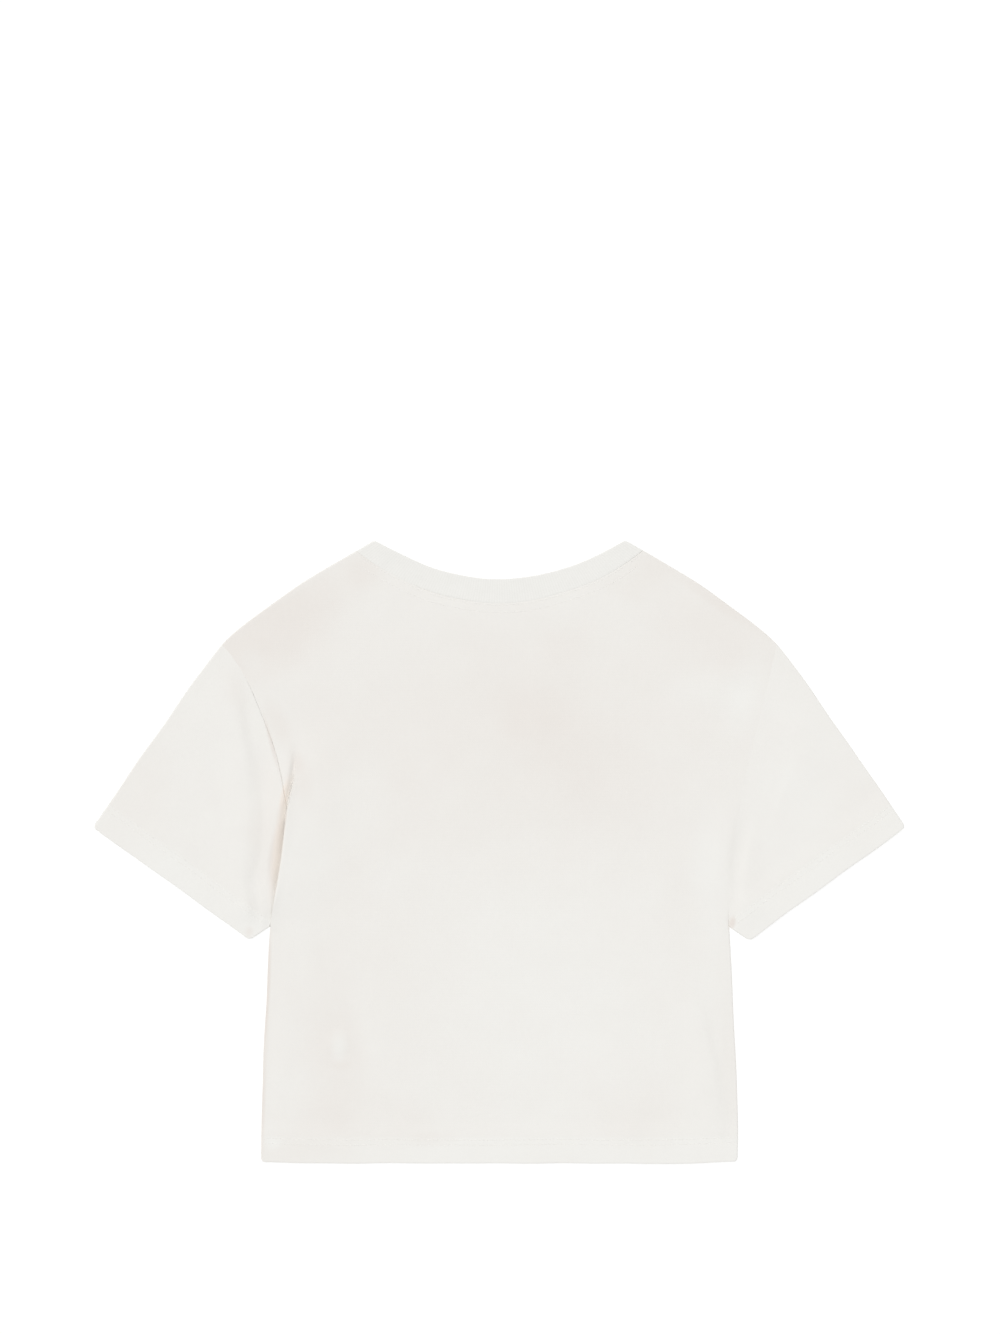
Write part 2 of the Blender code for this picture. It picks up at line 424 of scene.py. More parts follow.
# The crease of the pleat, from the underarm up past the end of the fold, and how wide
# the gap beside it is at some heights
PLEAT_CREASE = Line.joined(
    PLEAT_EDGE.mirrored(),
    Line.through((PLEAT_TOP, (167.4, 296), (165.2, 308), (162.6, 340))).mirrored(),
)
PLEAT_UPS = (190.0, 206.0, 219.0, 231.0, 245.0, 256.0, 268.0, 284.0, 300.0, 330.0)
PLEAT_WIDTHS = (1.2, 2.0, 6.6, 10.2, 11.2, 10.4, 9.0, 6.4, 4.2, 3.2)

# Which pieces a crease runs over
BACK = ("back",)
FRONT = ("front",)
LEFT = ("sleeve_left",)
RIGHT = ("sleeve_right",)

CREASES = (
    # the pleat at the left armhole: the back's fold and the ridge beside its gap
    Crease(BACK + LEFT, ((-178, 192), (-168, 250), (-157, 300), (-146, 372)), 26, 2.7, (0.22, 0.4), -0.45),
    Crease(
        BACK + LEFT,
        ((-184, 186), (-183.5, 222), (-180.5, 252), (-174.5, 282), (-171, 308), (-168, 360)),
        11, 2.6, (0.2, 0.35), 0.4,
    ),
    # the left sleeve: it steps down from a ridge along a soft trough that runs to the cuff
    Crease(
        LEFT,
        ((-212, 396), (-202, 371), (-196, 347), (-191, 323), (-189, 299))
        + ((-188, 275), (-190, 251), (-194, 227), (-191, 208), (-188, 186)),
        6.0, -1.0, (0.2, 0.0), 0.3,
    ),
    Crease(
        LEFT,
        ((-223, 398), (-213, 371), (-208, 347), (-204, 323), (-202.5, 299))
        + ((-202, 275), (-203, 251), (-206.5, 227), (-203, 208), (-200, 186)),
        12, 2.15, (0.3, 0.1), -0.4,
    ),
    Crease(LEFT, ((-205, 224), (-201, 208), (-198, 190)), 5, 0.4, (0.5, 0.4), -0.3),
    Crease(BACK, ((-183, 186), (-181.5, 204), (-177, 228)), 8, 0.7, (0.1, 0.5), -0.3),
    Crease(BACK, ((-152, 350), (-140, 300), (-146, 245)), 16, 0.7),
    # the right armhole: a soft trough between two ridges
    Crease(BACK + RIGHT, ((190, 304), (184.5, 270), (180, 244), (180, 204)), 11, 1.45, (0.4, 0.5), -0.3),
    Crease(
        BACK + RIGHT, ((208, 290), (201, 256), (197, 229), (198, 202), (197, 186)), 8, 1.2, (0.5, 0.2), 0.35
    ),
    Crease(
        BACK + RIGHT,
        ((200, 282), (195, 268), (189.5, 250), (188, 228), (188, 204), (187, 186)),
        4.2, -0.7, (0.3, 0.5),
    ),
    # low on the right, the cloth steps down to the side along a crease that ends in the hem
    Crease(
        BACK,
        ((146, 158), (156, 126), (163, 106), (168, 84), (171, 60), (174, 40), (180, 14)),
        12, 1.65, (0.4, 0.34), -0.5,
    ),
    Crease(BACK, ((158, 46), (170, 33), (180, 18)), 4, 0.5, (0.4, 0.2)),
    # low on the left side
    Crease(BACK, ((-172, 180), (-171, 120), (-175, 60), (-176, 14)), 8, 0.45, (0.3, 0.3)),
    Crease(
        BACK,
        ((-146, 212), (-142, 181), (-137, 153), (-123, 131), (-116, 108), (-111, 83), (-113, 50)),
        8, -0.7, (0.3, 0.4), 0.3,
    ),
    Crease(BACK, ((-131, 110), (-127, 98), (-122, 86)), 9, 0.8, (0.4, 0.3), -0.2),
    Crease(BACK, ((-60, 8), (-72, 34), (-70, 58)), 8, 0.4),
    # a pucker that the neck seam draws in
    Crease(BACK, ((-63, 460), (-47.6, 453), (-33, 449.4), (-20, 448)), 2.2, -0.35),
    # at the middle of the hem's right half
    Crease(BACK, ((96, 6), (108, 30), (104, 62)), 9, 0.45),
    # across the shoulders
    Crease(BACK, ((-196, 402), (-170, 380), (-138, 372)), 14, 0.7),
    Crease(BACK, ((196, 404), (168, 378), (132, 362)), 15, 0.7),
    Crease(BACK, ((60, 420), (30, 372), (44, 318)), 18, 0.5),
    # on the sleeves
    Crease(RIGHT, ((236, 388), (244, 330), (236, 268)), 15, 0.9),
    Crease(RIGHT, ((282, 318), (262, 280), (240, 240)), 13, 0.5),
    Crease(LEFT, ((-290, 300), (-262, 268), (-232, 238)), 13, 0.6),
)

# Dents in the side that lies on the table
TABLE_DENTS = (
    Crease(FRONT, ((150, 300), (172, 245), (178, 200)), 6, 0.45),
    Crease(FRONT, ((-158, 310), (-170, 250), (-174, 205)), 5, 0.5),
    Crease(FRONT, ((-150, 120), (-160, 70), (-176, 14)), 5, 0.4),
    Crease(FRONT, ((120, 140), (142, 90), (150, 30)), 7, 0.35),
    Crease(FRONT, ((-40, 330), (0, 318), (52, 334)), 9, 0.3),
    Crease(LEFT, ((-250, 350), (-232, 290), (-224, 240)), 6, 0.4),
    Crease(RIGHT, ((255, 345), (228, 300), (214, 246)), 6, 0.4),
)


@dataclass(frozen=True)
class Drape:
    """How the layers of the shirt lie over the table."""

    broad: Ripples = Ripples(seed=11, wavelength=105.0, height=0.26)
    medium: Ripples = Ripples(seed=5, wavelength=38.0, height=0.07)
    fine: Ripples = Ripples(seed=23, wavelength=14.0, height=0.022)
    waver_across: Ripples = Ripples(seed=31, wavelength=74.0, height=0.22)
    waver_up: Ripples = Ripples(seed=37, wavelength=66.0, height=0.25)
    rest_lift: float = 0.62  # mean air between the layers, beyond the gap
    edge_lift: float = 0.3  # share of it left at the shirt's edges
    edge_width: float = 26.0  # how far from them all of it is there
    hem_press: float = 0.35  # share of it that a hem presses out
    cuff_clear: float = 7.0  # how far from the armhole a cuff is fully doubled
    neck_sag: float = 0.7  # how far the back drops where no front lies under it
    sag_width: float = 38.0  # how far inside the front's neck it has dropped
    proud: tuple[float, float, float] = (0.12, 0.2, 0.35)  # of the rib, pulled seam and turns
    softness: float = 0.4  # how softly troughs flatten where they reach the lower layer
    hem_drawn: tuple[float, float] = (0.85, 1.2)  # how far the hem is drawn up, and more at its ends
    drawn_height: float = 70.0  # the level above which nothing is drawn up

    def hem_share(self, piece: str, spots: Array, ease: float = HEM_STEP) -> Array:
        """Where the piece is doubled by its hem.

        Args:
            piece: The piece's name.
            spots: The spots.
            ease: How far past the hem the cloth takes to come down from it.

        Returns:
            1 in the hem and 0 away from it.
        """
        if piece in BACK + FRONT:
            return ramp(spots[..., 1], HEM_WIDTH + ease, HEM_WIDTH - HEM_STEP)
        if piece == "neck_rib":
            return np.zeros(spots.shape[:-1])
        right = on_right(spots)
        apart, _, side = ARMHOLE.follow(right, FAR)
        in_sleeve = smooth(np.where(side < 0, apart, 0.0) / self.cuff_clear)
        from_cuff = CUFF.distance(right, CUFF_WIDTH + BLEND)
        return in_sleeve * ramp(from_cuff, CUFF_WIDTH + ease, CUFF_WIDTH - HEM_STEP)

    def thickness(self, piece: str, spots: Array) -> Array:
        """The cloth's thickness."""
        return JERSEY + HEM_EXTRA * self.hem_share(piece, spots)

    def low(self, piece: str, spots: Array) -> Array:
        """Height of the face that lies on the table."""
        dents = [crease.lift(spots) for crease in TABLE_DENTS if piece in crease.pieces]
        return FLOOR_GAP + sum(dents, np.zeros(spots.shape[:-1]))

    def lift(self, piece: str, spots: Array) -> Array:
        """How far the upper layer is raised off the lower one.

        Args:
            piece: The name of the piece that is the upper layer.
            spots: The spots.

        Returns:
            The air between the layers at each spot, beyond the gap.
        """
        waves = sum(waves.lift(spots) for waves in (self.broad, self.medium, self.fine))
        right, outline = on_right(spots), (SIDE, SHOULDER, SLEEVE_TOP, SLEEVE_UNDER)
        from_edge = np.minimum.reduce([edge.distance(right, self.edge_width) for edge in outline])
        held = self.edge_lift + (1.0 - self.edge_lift) * smooth(from_edge / self.edge_width)
        pressed = 1.0 - self.hem_press * self.hem_share(piece, spots, BLEND)
        lift = (self.rest_lift + waves) * held * pressed
        lift += sum(crease.lift(spots) for crease in CREASES if piece in crease.pieces)
        if piece not in RIGHT:
            lift *= self.clear_of_pleat(piece, spots)
        return self.softness * np.logaddexp(0.0, np.clip(lift / self.softness, -30.0, 60.0))

    def groove(self, line: Line, spots: Array) -> Array:
        """How far the cloth sinks along a seam, which changes from place to place.

        Args:
            line: The seam.
            spots: The spots.

        Returns:
            The depth at each spot.
        """
        up = spots[..., 1]
        if line.points[:, 0].max() < 0.0:  # on the left, harder the nearer it is to the pleat
            depth = 0.1 + ramp(up, 394.0, 372.0) * (0.32 + 0.7 * ramp(up, 360.0, 314.0))
            reach = 1.1
        elif line.points[:, 0].min() > 0.0:  # on the right, where the seams meet at the underarm
            pinched = ramp(up, 204.0, 195.0)
            depth = 0.04 + 1.1 * pinched
            reach = 0.8 + 1.9 * pinched
        else:
            depth = 0.5 * self.neck_pull(spots)
            reach = 0.8
        return depth * (1.0 - quarter_round(line.distance(spots, NEAR), reach))

    @staticmethod
    def neck_pull(spots: Array) -> Array:
        """How firmly the neck seam is pulled in, between 0 and 1."""
        places = (-115.0, -72.0, -61.0, -42.0, -24.0, 0.0, 44.0, 62.0, 94.0, 108.0)
        return np.interp(spots[..., 0], places, (0.05, 0.1, 0.75, 0.6, 0.45, 0.15, 0.25, 0.3, 0.3, 0.4))

    @staticmethod
    def clear_of_pleat(piece: str, spots: Array) -> Array:
        """How free the cloth is of the pleat's crease.

        Args:
            piece: The piece's name.
            spots: The spots.

        Returns:
            0 in the crease, and 1 away from it.
        """
        distance, _, side = PLEAT_CREASE.follow(spots, 30.0)
        up = spots[..., 1]
        width = np.interp(up, PLEAT_UPS, PLEAT_WIDTHS)
        # less deep just above the underarm, and gone above the notch
        deep = 0.3 + 0.7 * ramp(up, 210.0, 230.0) + 0.6 * ramp(up, 205.0, 197.0)
        deep = deep * ramp(up, 338.0, 314.0)
        if piece in BACK:
            width = np.where(side > 0, width, 0.9 + 0.06 * np.maximum(up - 300.0, 0.0))
            deep = deep * ramp(up, 262.0, 288.0)
        else:
            distance = distance * side
        short = np.clip(1.0 - (distance - 0.3) / width, 0.0, 1.0)
        return 1.0 - deep * short**1.8

    def top(self, piece: str, spots: Array) -> Array:
        """Height of the face that looks up.

        Args:
            piece: The piece's name.
            spots: The spots.

        Returns:
            The height at each spot.
        """
        if piece == "neck_rib":
            turned = smooth(1.0 - RIB_TURN.distance(on_right(spots)) / 30.0)
            usual, at_pull, at_turn = self.proud
            return self.top("back", spots) + usual + at_pull * self.neck_pull(spots) + at_turn * turned
        layers = 2 * (JERSEY + HEM_EXTRA * self.hem_share(piece, spots, BLEND))
        top = self.low(piece, spots) + layers + LAYER_GAP + self.lift(piece, spots)
        if piece in BACK:
            edge_up = np.interp(spots[..., 0], *FRONT_NECK_EDGE.points.T)
            inside = (spots[..., 1] > edge_up) & (np.abs(spots[..., 0]) < NECK_EDGE_END.across)
            inside = np.where(inside, FRONT_NECK_EDGE.distance(spots, self.sag_width), 0.0)
            top = top - self.neck_sag * smooth(inside / self.sag_width)
        return top

    def span(self, piece: str, spots: Array) -> tuple[Array, Array]:
        """The height half-way through the shirt, and half of its thickness there."""
        top, low = self.top(piece, spots), self.low(piece, spots)
        return (top + low) / 2, (top - low) / 2

    def laid(self, spots: Array, heights: Array) -> Array:
        """Points of the frame, with the small wander of cloth edges and a hem drawn up.

        Args:
            spots: The spots.
            heights: The height at each spot.

        Returns:
            The points, in metres.
        """
        across = spots[..., 0] + self.waver_across.lift(spots)
        up = spots[..., 1] + self.waver_up.lift(spots)
        middle, more = self.hem_drawn
        drawn = middle + more * ramp(np.abs(spots[..., 0]), 140.0, 190.0)
        up = up + drawn * smooth(1.0 - spots[..., 1] / self.drawn_height)
        return np.stack((across * MM, up * MM + HEM_Y, heights * MM), -1)


def rolled(edge: Array, thickness: float) -> tuple[Array, Array]:
    """How far the outer and the inner face have risen at a distance from a rolled edge."""
    return quarter_round(edge, ROLL), quarter_round(np.maximum(edge - thickness, 0.0), INNER_ROLL)


def fold_share(distance: Array, radius: float) -> Array:
    """How far apart the faces are left, as a share, near a fold of the cloth."""
    return RIM + (1 - RIM) * quarter_round(distance, radius)


def drawn_in(outer: Array, inner: Array, share: Array) -> tuple[Array, Array]:
    """Both faces' heights, drawn to the middle between them until a share is left."""
    centre = (outer + inner) / 2
    return centre + (outer - centre) * share, centre + (inner - centre) * share


def in_scene(name: str, data: bpy.types.ID | None) -> Object:
    """Puts a new object in the scene.

    Args:
        name: Its name.
        data: Its mesh, light or camera.

    Returns:
        The object.
    """
    made = bpy.data.objects.new(name, data)
    bpy.context.scene.collection.objects.link(made)
    return made


def grid_faces(ids: Array) -> Array:
    """Four-sided faces between the rows and columns of one or more grids of vertices."""
    corners = (ids[..., :-1, :-1], ids[..., :-1, 1:], ids[..., 1:, 1:], ids[..., 1:, :-1])
    return np.stack(corners, -1).reshape(-1, 4)


def mesh_object(name: str, points: Array, faces: list[list[int]]) -> Object:
    """A smooth object whose faces all look outward.

    Args:
        name: The piece's name.
        points: The vertices, in metres.
        faces: The vertices of each face.

    Returns:
        The new object.
    """
    mesh = bpy.data.meshes.new(name)
    mesh.from_pydata(points.reshape(-1, 3).tolist(), [], faces)
    builder = bmesh.new()
    builder.from_mesh(mesh)
    bmesh.ops.recalc_face_normals(builder, faces=builder.faces)
    builder.to_mesh(mesh)
    builder.free()
    mesh.shade_smooth()
    return in_scene(name, mesh)


def cloth_object(name: str, outer: Array, inner: Array, is_tube: bool) -> Object:
    """A closed wall of cloth between two grids of points.

    Args:
        name: The piece's name.
        outer: Points of the outer face, by row and column.
        inner: Points of the inner face, in the same rows and columns.
        is_tube: Whether each row closes on itself.

    Returns:
        The new object.
    """
    grids = list(np.arange(2 * outer[..., 0].size).reshape(2, *outer.shape[:2]))
    if is_tube:
        grids = [np.hstack((ids, ids[:, :1])) for ids in grids]
        rims = [[ids[row] for ids in grids] for row in (0, -1)]
    else:
        rims = [[np.concatenate((ids[0], ids[1:, -1], ids[-1, -2::-1], ids[-2::-1, 0])) for ids in grids]]
    faces = [grid_faces(grids[0]), grid_faces(grids[1])[:, ::-1]]
    faces += [grid_faces(np.stack(rim)) for rim in rims]
    made = mesh_object(f"{name}_cloth", np.stack((outer, inner)), np.vstack(faces).tolist())
    made.data.set_sharp_from_angle(angle=math.radians(60))
    return made


def linear(hex_colour: str) -> tuple[float, float, float, float]:
    """Turns an sRGB colour to a linear one.

    Args:
        hex_colour: The colour, as a hash sign and six hex digits.

    Returns:
        The linear colour, with alpha.
    """
    channels = [int(hex_colour[place : place + 2], 16) / 255 for place in (1, 3, 5)]
    light = [c / 12.92 if c <= 0.04045 else ((c + 0.055) / 1.055) ** 2.4 for c in channels]
    return (*light, 1.0)


def feed(node: Node, inputs: dict) -> None:
    """Sets and links a node's inputs.

    Args:
        node: The node.
        inputs: For an input's name or number, a value, or the output or node that feeds it.
    """
    for name, value in inputs.items():
        source = value.outputs[0] if isinstance(value, Node) else value
        if isinstance(source, NodeSocket):
            node.id_data.links.new(source, node.inputs[name])
        else:
            node.inputs[name].default_value = source


def add(tree: NodeTree, kind: str, inputs: dict | None = None, **settings: object) -> Node:
    """Adds a node with its settings and links.

    Args:
        tree: The tree that it goes in.
        kind: The node's type, without the word that all of them start with.
        inputs: What its inputs are set to or fed by.
        **settings: The node's other settings.

    Returns:
        The node.
    """
    node = tree.nodes.new(f"ShaderNode{kind}")
    for name, value in settings.items():
        setattr(node, name, value)
    feed(node, inputs or {})
    return node


def new_material(name: str) -> tuple[Material, NodeTree, Node]:
    """Starts a material.

    Args:
        name: Its name.

    Returns:
        The material, its nodes and its shader.
    """
    made = bpy.data.materials.new(name)
    made.use_nodes = True
    return made, made.node_tree, made.node_tree.nodes["Principled BSDF"]


def stripes(tree: NodeTree, along: NodeSocket | Node, spacing: float, wave: str = "SINE") -> Node:
    """A wave that comes back at each spacing, which is in millimetres."""
    turns = add(tree, "Math", {0: along, 1: 2 * math.pi / (spacing * MM)}, operation="MULTIPLY")
    return add(tree, "Math", {0: turns}, operation=wave)


def seen(tree: NodeTree) -> NodeSocket:
    """Tells the rays that show what they meet: straight, by a mirror or through glass.

    Args:
        tree: The nodes that it goes in.

    Returns:
        1 on those rays, and 0 on the others.
    """
    rays = add(tree, "LightPath").outputs
    shows = rays["Is Camera Ray"]
    for other in ("Is Glossy Ray", "Is Transmission Ray"):
        shows = add(tree, "Math", {0: shows, 1: rays[other]}, operation="MAXIMUM").outputs[0]
    return shows


@dataclass(frozen=True)
class Tone:
    """A soft patch where the cloth's colour is deeper, or lighter if its strength is negative: some are
    painted shade and a few are painted highlights.
    """

    place: tuple[float, float]
    reach: tuple[float, float]  # across and up
    turn: float  # degrees
    strength: float
    wanders: bool = False  # whether its outline is pushed about


# Painted shade where the seams that meet at the underarm pucker
UNDERARM_SHADE = Tone((186.0, 193.0), (4.0, 7.5), -12, 1.0)

# Painted shade where the pleat's gap narrows into its notch
NOTCH_SHADE = Tone((-171.0, 296.0), (4.0, 14.0), -14, 0.35)

# Painted shade along the left armhole seam, where it is drawn in hardest
ARMHOLE_SHADE = Tone((-182.6, 337.0), (2.4, 32.0), 14.7, 0.55)

# Soft patches on the back: broad tone, with painted shade and painted highlights where marked
BACK_TONE_AND_PAINTED_SHADING = (
    # broad
    Tone((10, 345), (290, 150), 0, 0.21, True),
    Tone((36, 352), (100, 66), -35, 0.08, True),
    Tone((26, 362), (38, 32), -30, 0.14, True),
    Tone((80, 300), (110, 56), -34, 0.08, True),
    Tone((-182, 434), (112, 56), 34, 0.45, True),
    Tone((180, 420), (110, 60), -36, 0.20, True),
    Tone((-135, 80), (36, 96), 2, 0.20, True),
    Tone((-108, 32), (92, 36), 0, 0.13, True),
    Tone((114, 38), (58, 42), 10, 0.09, True),
    Tone((-120, 190), (110, 190), 0, 0.09, True),
    Tone((146, 200), (26, 96), 6, 0.06, True),
    Tone((40, 130), (120, 130), 0, -0.09, True),
    # painted highlight along the back's side of the pleat's fold
    Tone((-156, 236), (32, 80), -4, -0.15, True),
    # along the sides, the hem and the shoulders
    # painted highlight on the lit flank beside the right armhole's trough
    Tone((167, 250), (20, 56), -6, -0.10),
    Tone((168, 186), (24, 92), -4, -0.08, True),
    # painted shade on the slope from the low crease down to the right side
    Tone((187, 70), (14, 76), 4, 0.10),
    Tone((-176, 9), (70, 20), 0, 0.26),
    # painted shade along the rim of the left side
    Tone((-189.4, 92), (6, 130), -2.8, 0.4),
    Tone((-186.6, 142), (4.2, 64), -3, 1.0),
    Tone((172, 452), (76, 9), -34, 0.22),
    Tone((-172, 453), (76, 5), 34, -0.08),
    # painted shade along the left side's rim near the hem, and a painted highlight at the hem's fold end
    Tone((-190.4, 40), (4.5, 70), -1.5, 0.5),
    Tone((-181, 17), (10, 8), 0, -0.25),
    # painted shade round the left armhole: at the top of the pleat's crease, beside the seam, in the notch
    # and along the seam
    Tone((-161.5, 321), (8, 12), 10, 0.22),
    Tone((-160, 312), (14, 32), 14, 0.2),
    Tone((-177, 352), (12, 30), 22, 0.24),
    NOTCH_SHADE,
    ARMHOLE_SHADE,
    # small
    Tone((197, 378), (22, 44), -12, -0.24),
    Tone((-109, 474), (24, 20), 0, 0.28),
    Tone((119, 476), (34, 22), -30, 0.2),
    Tone((50, 414), (32, 22), 0, 0.14),
    Tone((166, 382), (42, 22), 0, -0.16),
    Tone((-199, 402), (15, 17), 0, -0.2),
    Tone((100, 462), (28, 16), -25, 0.12),
    Tone((-56, 20), (26, 9), 0, 0.15),
    Tone((-112, 288), (32, 60), -20, -0.14),
    Tone((-84, 236), (36, 32), 0, -0.1),
    Tone((-128, 94), (9, 17), 0, -0.3),
    Tone((-127, 79), (13, 6), 0, 0.14),
    UNDERARM_SHADE,
)
# Soft patches on the left sleeve: broad tone, with painted shade where marked
LEFT_SLEEVE_TONE_AND_PAINTED_SHADING = (
    Tone((-296, 296), (60, 70), 0, 0.12, True),
    Tone((-184, 272), (24, 80), 6, 0.22, True),
    Tone((-209, 374), (13, 30), 14, 0.14),
    # painted shade in the pleat's gap, and at the end of the sleeve's trough by the cuff
    Tone((-180, 248), (6, 30), -8, 0.5),
    Tone((-200, 186), (5, 6), 0, 0.4),
    NOTCH_SHADE,
    ARMHOLE_SHADE,
)
# Soft patches on the right sleeve: broad tone, and the painted shade at the underarm
RIGHT_SLEEVE_TONE_AND_PAINTED_SHADING = (
    Tone((292, 276), (50, 40), 0, 0.06, True),
    Tone((236, 300), (50, 80), 0, -0.06, True),
    UNDERARM_SHADE,
)

# Painted warm tint inside the pleat, standing in for the light that comes from fold to fold
PLEAT_PAINTED_BOUNCE = (Tone((-176.8, 255), (5.5, 60), -7.2, 1.0), Tone((-171, 297), (4.5, 20), -14, 0.8))

# Cotton's own gloss, under the soft nap that washing raises
WASHED_COTTON = {"IOR": 1.45, "Specular IOR Level": 0.25, "Sheen Weight": 0.08, "Sheen Roughness": 0.55}


@dataclass(frozen=True)
class CottonJersey:
    """Cotton single jersey, knitted and washed: matt, softly napped, off-white."""

    name: str
    grain: float  # degrees that the wales turn from running up the shirt
    fold: float  # where its turned-up hem begins, along the grain, in metres
    # patches of tone and of painted shade and highlights
    tones: tuple[Tone, ...] = ()
    painted_bounce: tuple[Tone, ...] = ()  # painted warm tint of light bounced between folds
    plain: str = "#F3F2EE"
    # the colours of deeper tone and painted shade, and of the painted warm tint of bounced light
    deep: str = "#EAE3DD"
    bounce_tint: str = "#F6EDE4"
    usual: float = 0.16  # how deep one layer looks away from the patches
    doubled: float = 0.12  # how much less deep it looks where it is doubled by its hem
    wander: float = 0.04  # how far in metres the outlines of broad patches are pushed about
    wale: float = 1.5  # a wale is about 0.7 across: drawn coarser so that it shows
    course: float = 1.3  # a course is about 0.55: drawn coarser in step

    def material(self) -> Material:
        """Makes the material.

        Returns:
            The material.
        """
        made, tree, shader = new_material(self.name)
        where = add(tree, "TexCoord").outputs["Object"]
        grain = {"Vector": where, "Angle": math.radians(self.grain)}
        along = add(tree, "VectorRotate", grain, rotation_type="Z_AXIS")
        # slubs of yarn 1.6 wide and 22 long, a mottle 33 across and a nap 1.1 across
        slubs = add(tree, "Mapping", {"Vector": along, "Scale": (620, 46, 620)})
        slub = add(tree, "TexNoise", {"Vector": slubs, "Scale": 1.0, "Detail": 3.0})
        mottle = add(tree, "TexNoise", {"Vector": where, "Scale": 30.0, "Detail": 6.0})
        nap = add(tree, "TexNoise", {"Vector": where, "Scale": 900.0, "Detail": 4.0})
        height = add(tree, "SeparateXYZ", {0: along}).outputs[1]
        hem = {0: height, 1: self.fold - MM, 2: self.fold + MM, 3: -self.doubled, 4: 0.0}
        # how deep the colour is: patches of tone and painted shading, less where the hem doubles the cloth,
        # with random slubs and mottle
        tone_and_painted_shading = self.patches(tree, where, self.tones, self.usual)
        tone_and_painted_shading = add(tree, "Math", {0: tone_and_painted_shading, 1: add(tree, "MapRange", hem)}, operation="ADD")
        for source, share in ((slub, 0.08), (mottle, 0.22)):
            centred = add(tree, "Math", {0: source, 1: share, 2: -share / 2}, operation="MULTIPLY_ADD")
            tone_and_painted_shading = add(tree, "Math", {0: tone_and_painted_shading, 1: centred}, operation="ADD")
        shades = {0: tone_and_painted_shading, 6: linear(self.plain), 7: linear(self.deep)}
        colour = add(tree, "Mix", shades, data_type="RGBA").outputs[2]
        # a painted warm tint where light bounces between the pleat's folds
        if self.painted_bounce:
            bounce_warmth = self.patches(tree, where, self.painted_bounce, 0.0)
            warmed = {0: bounce_warmth, 6: colour, 7: linear(self.bounce_tint)}
            colour = add(tree, "Mix", warmed, data_type="RGBA").outputs[2]
        rough = add(tree, "MapRange", {0: mottle, 1: 0.3, 2: 0.7, 3: 0.86, 4: 0.96})
        relief = add(tree, "Math", {0: nap, 1: 0.35, 2: self.knit(tree, along)}, operation="MULTIPLY_ADD")
        bump = add(tree, "Bump", {"Height": relief, "Strength": 0.45, "Distance": 0.12 * MM})
        feed(shader, WASHED_COTTON | {"Base Color": colour, "Roughness": rough, "Normal": bump})
        return made

    def knit(self, tree: NodeTree, along: Node) -> Node:
        """The knit's height: two slanting strands to a wale, stepped by courses.

        Args:
            tree: The material's nodes.
            along: The node that gives the point along the grain.

        Returns:
            The node that gives the height.
        """
        axes = add(tree, "SeparateXYZ", {0: along}).outputs
        strands = add(tree, "Math", {0: stripes(tree, axes[0], self.wale)}, operation="ABSOLUTE")
        slant = add(tree, "Math", {0: axes[0], 1: self.wale * MM / 2}, operation="PINGPONG")
        climb = add(tree, "Math", {0: slant, 1: 1.3, 2: axes[1]}, operation="MULTIPLY_ADD")
        courses = stripes(tree, climb, self.course)
        stepped = add(tree, "Math", {0: courses, 1: 0.3, 2: 0.7}, operation="MULTIPLY_ADD")
        return add(tree, "Math", {0: strands, 1: stepped}, operation="MULTIPLY")

    def patches(self, tree: NodeTree, where: NodeSocket, tones: Sequence[Tone], start: float) -> NodeSocket:
        """How strongly some soft patches colour each point.

        Args:
            tree: The material's nodes.
            where: The point.
            tones: The patches, which add up.
            start: The strength away from all of them.

        Returns:
            The strength at the point.
        """
        cloud = add(tree, "TexNoise", {"Vector": where, "Scale": 14.0, "Detail": 3.0}).outputs["Color"]
        push = {0: cloud, 1: (self.wander, self.wander, 0.0), 2: where}
        pushed = add(tree, "VectorMath", push, operation="MULTIPLY_ADD").outputs[0]
        total = add(tree, "Value").outputs[0]
        total.default_value = start
        for tone in tones:
            aside = self.wander / 2 if tone.wanders else 0.0  # the mean push
            across, up = (reach * MM for reach in tone.reach)
            ellipse = {
                "Vector": pushed if tone.wanders else where,
                "Location": (tone.place[0] * MM + aside, tone.place[1] * MM + HEM_Y + aside, 0.0),
                "Rotation": (0.0, 0.0, math.radians(tone.turn)),
                "Scale": (across, up, 1.0),
            }
            moved = add(tree, "Mapping", ellipse, vector_type="TEXTURE")
            ball = add(tree, "TexGradient", {"Vector": moved}, gradient_type="SPHERICAL").outputs[1]
            fade = {0: ball, 2: 0.85, 4: tone.strength}  # whole in the innermost part
            soft = add(tree, "MapRange", fade, interpolation_type="SMOOTHSTEP")
            total = add(tree, "Math", {0: soft, 1: total}, operation="ADD").outputs[0]
        return total


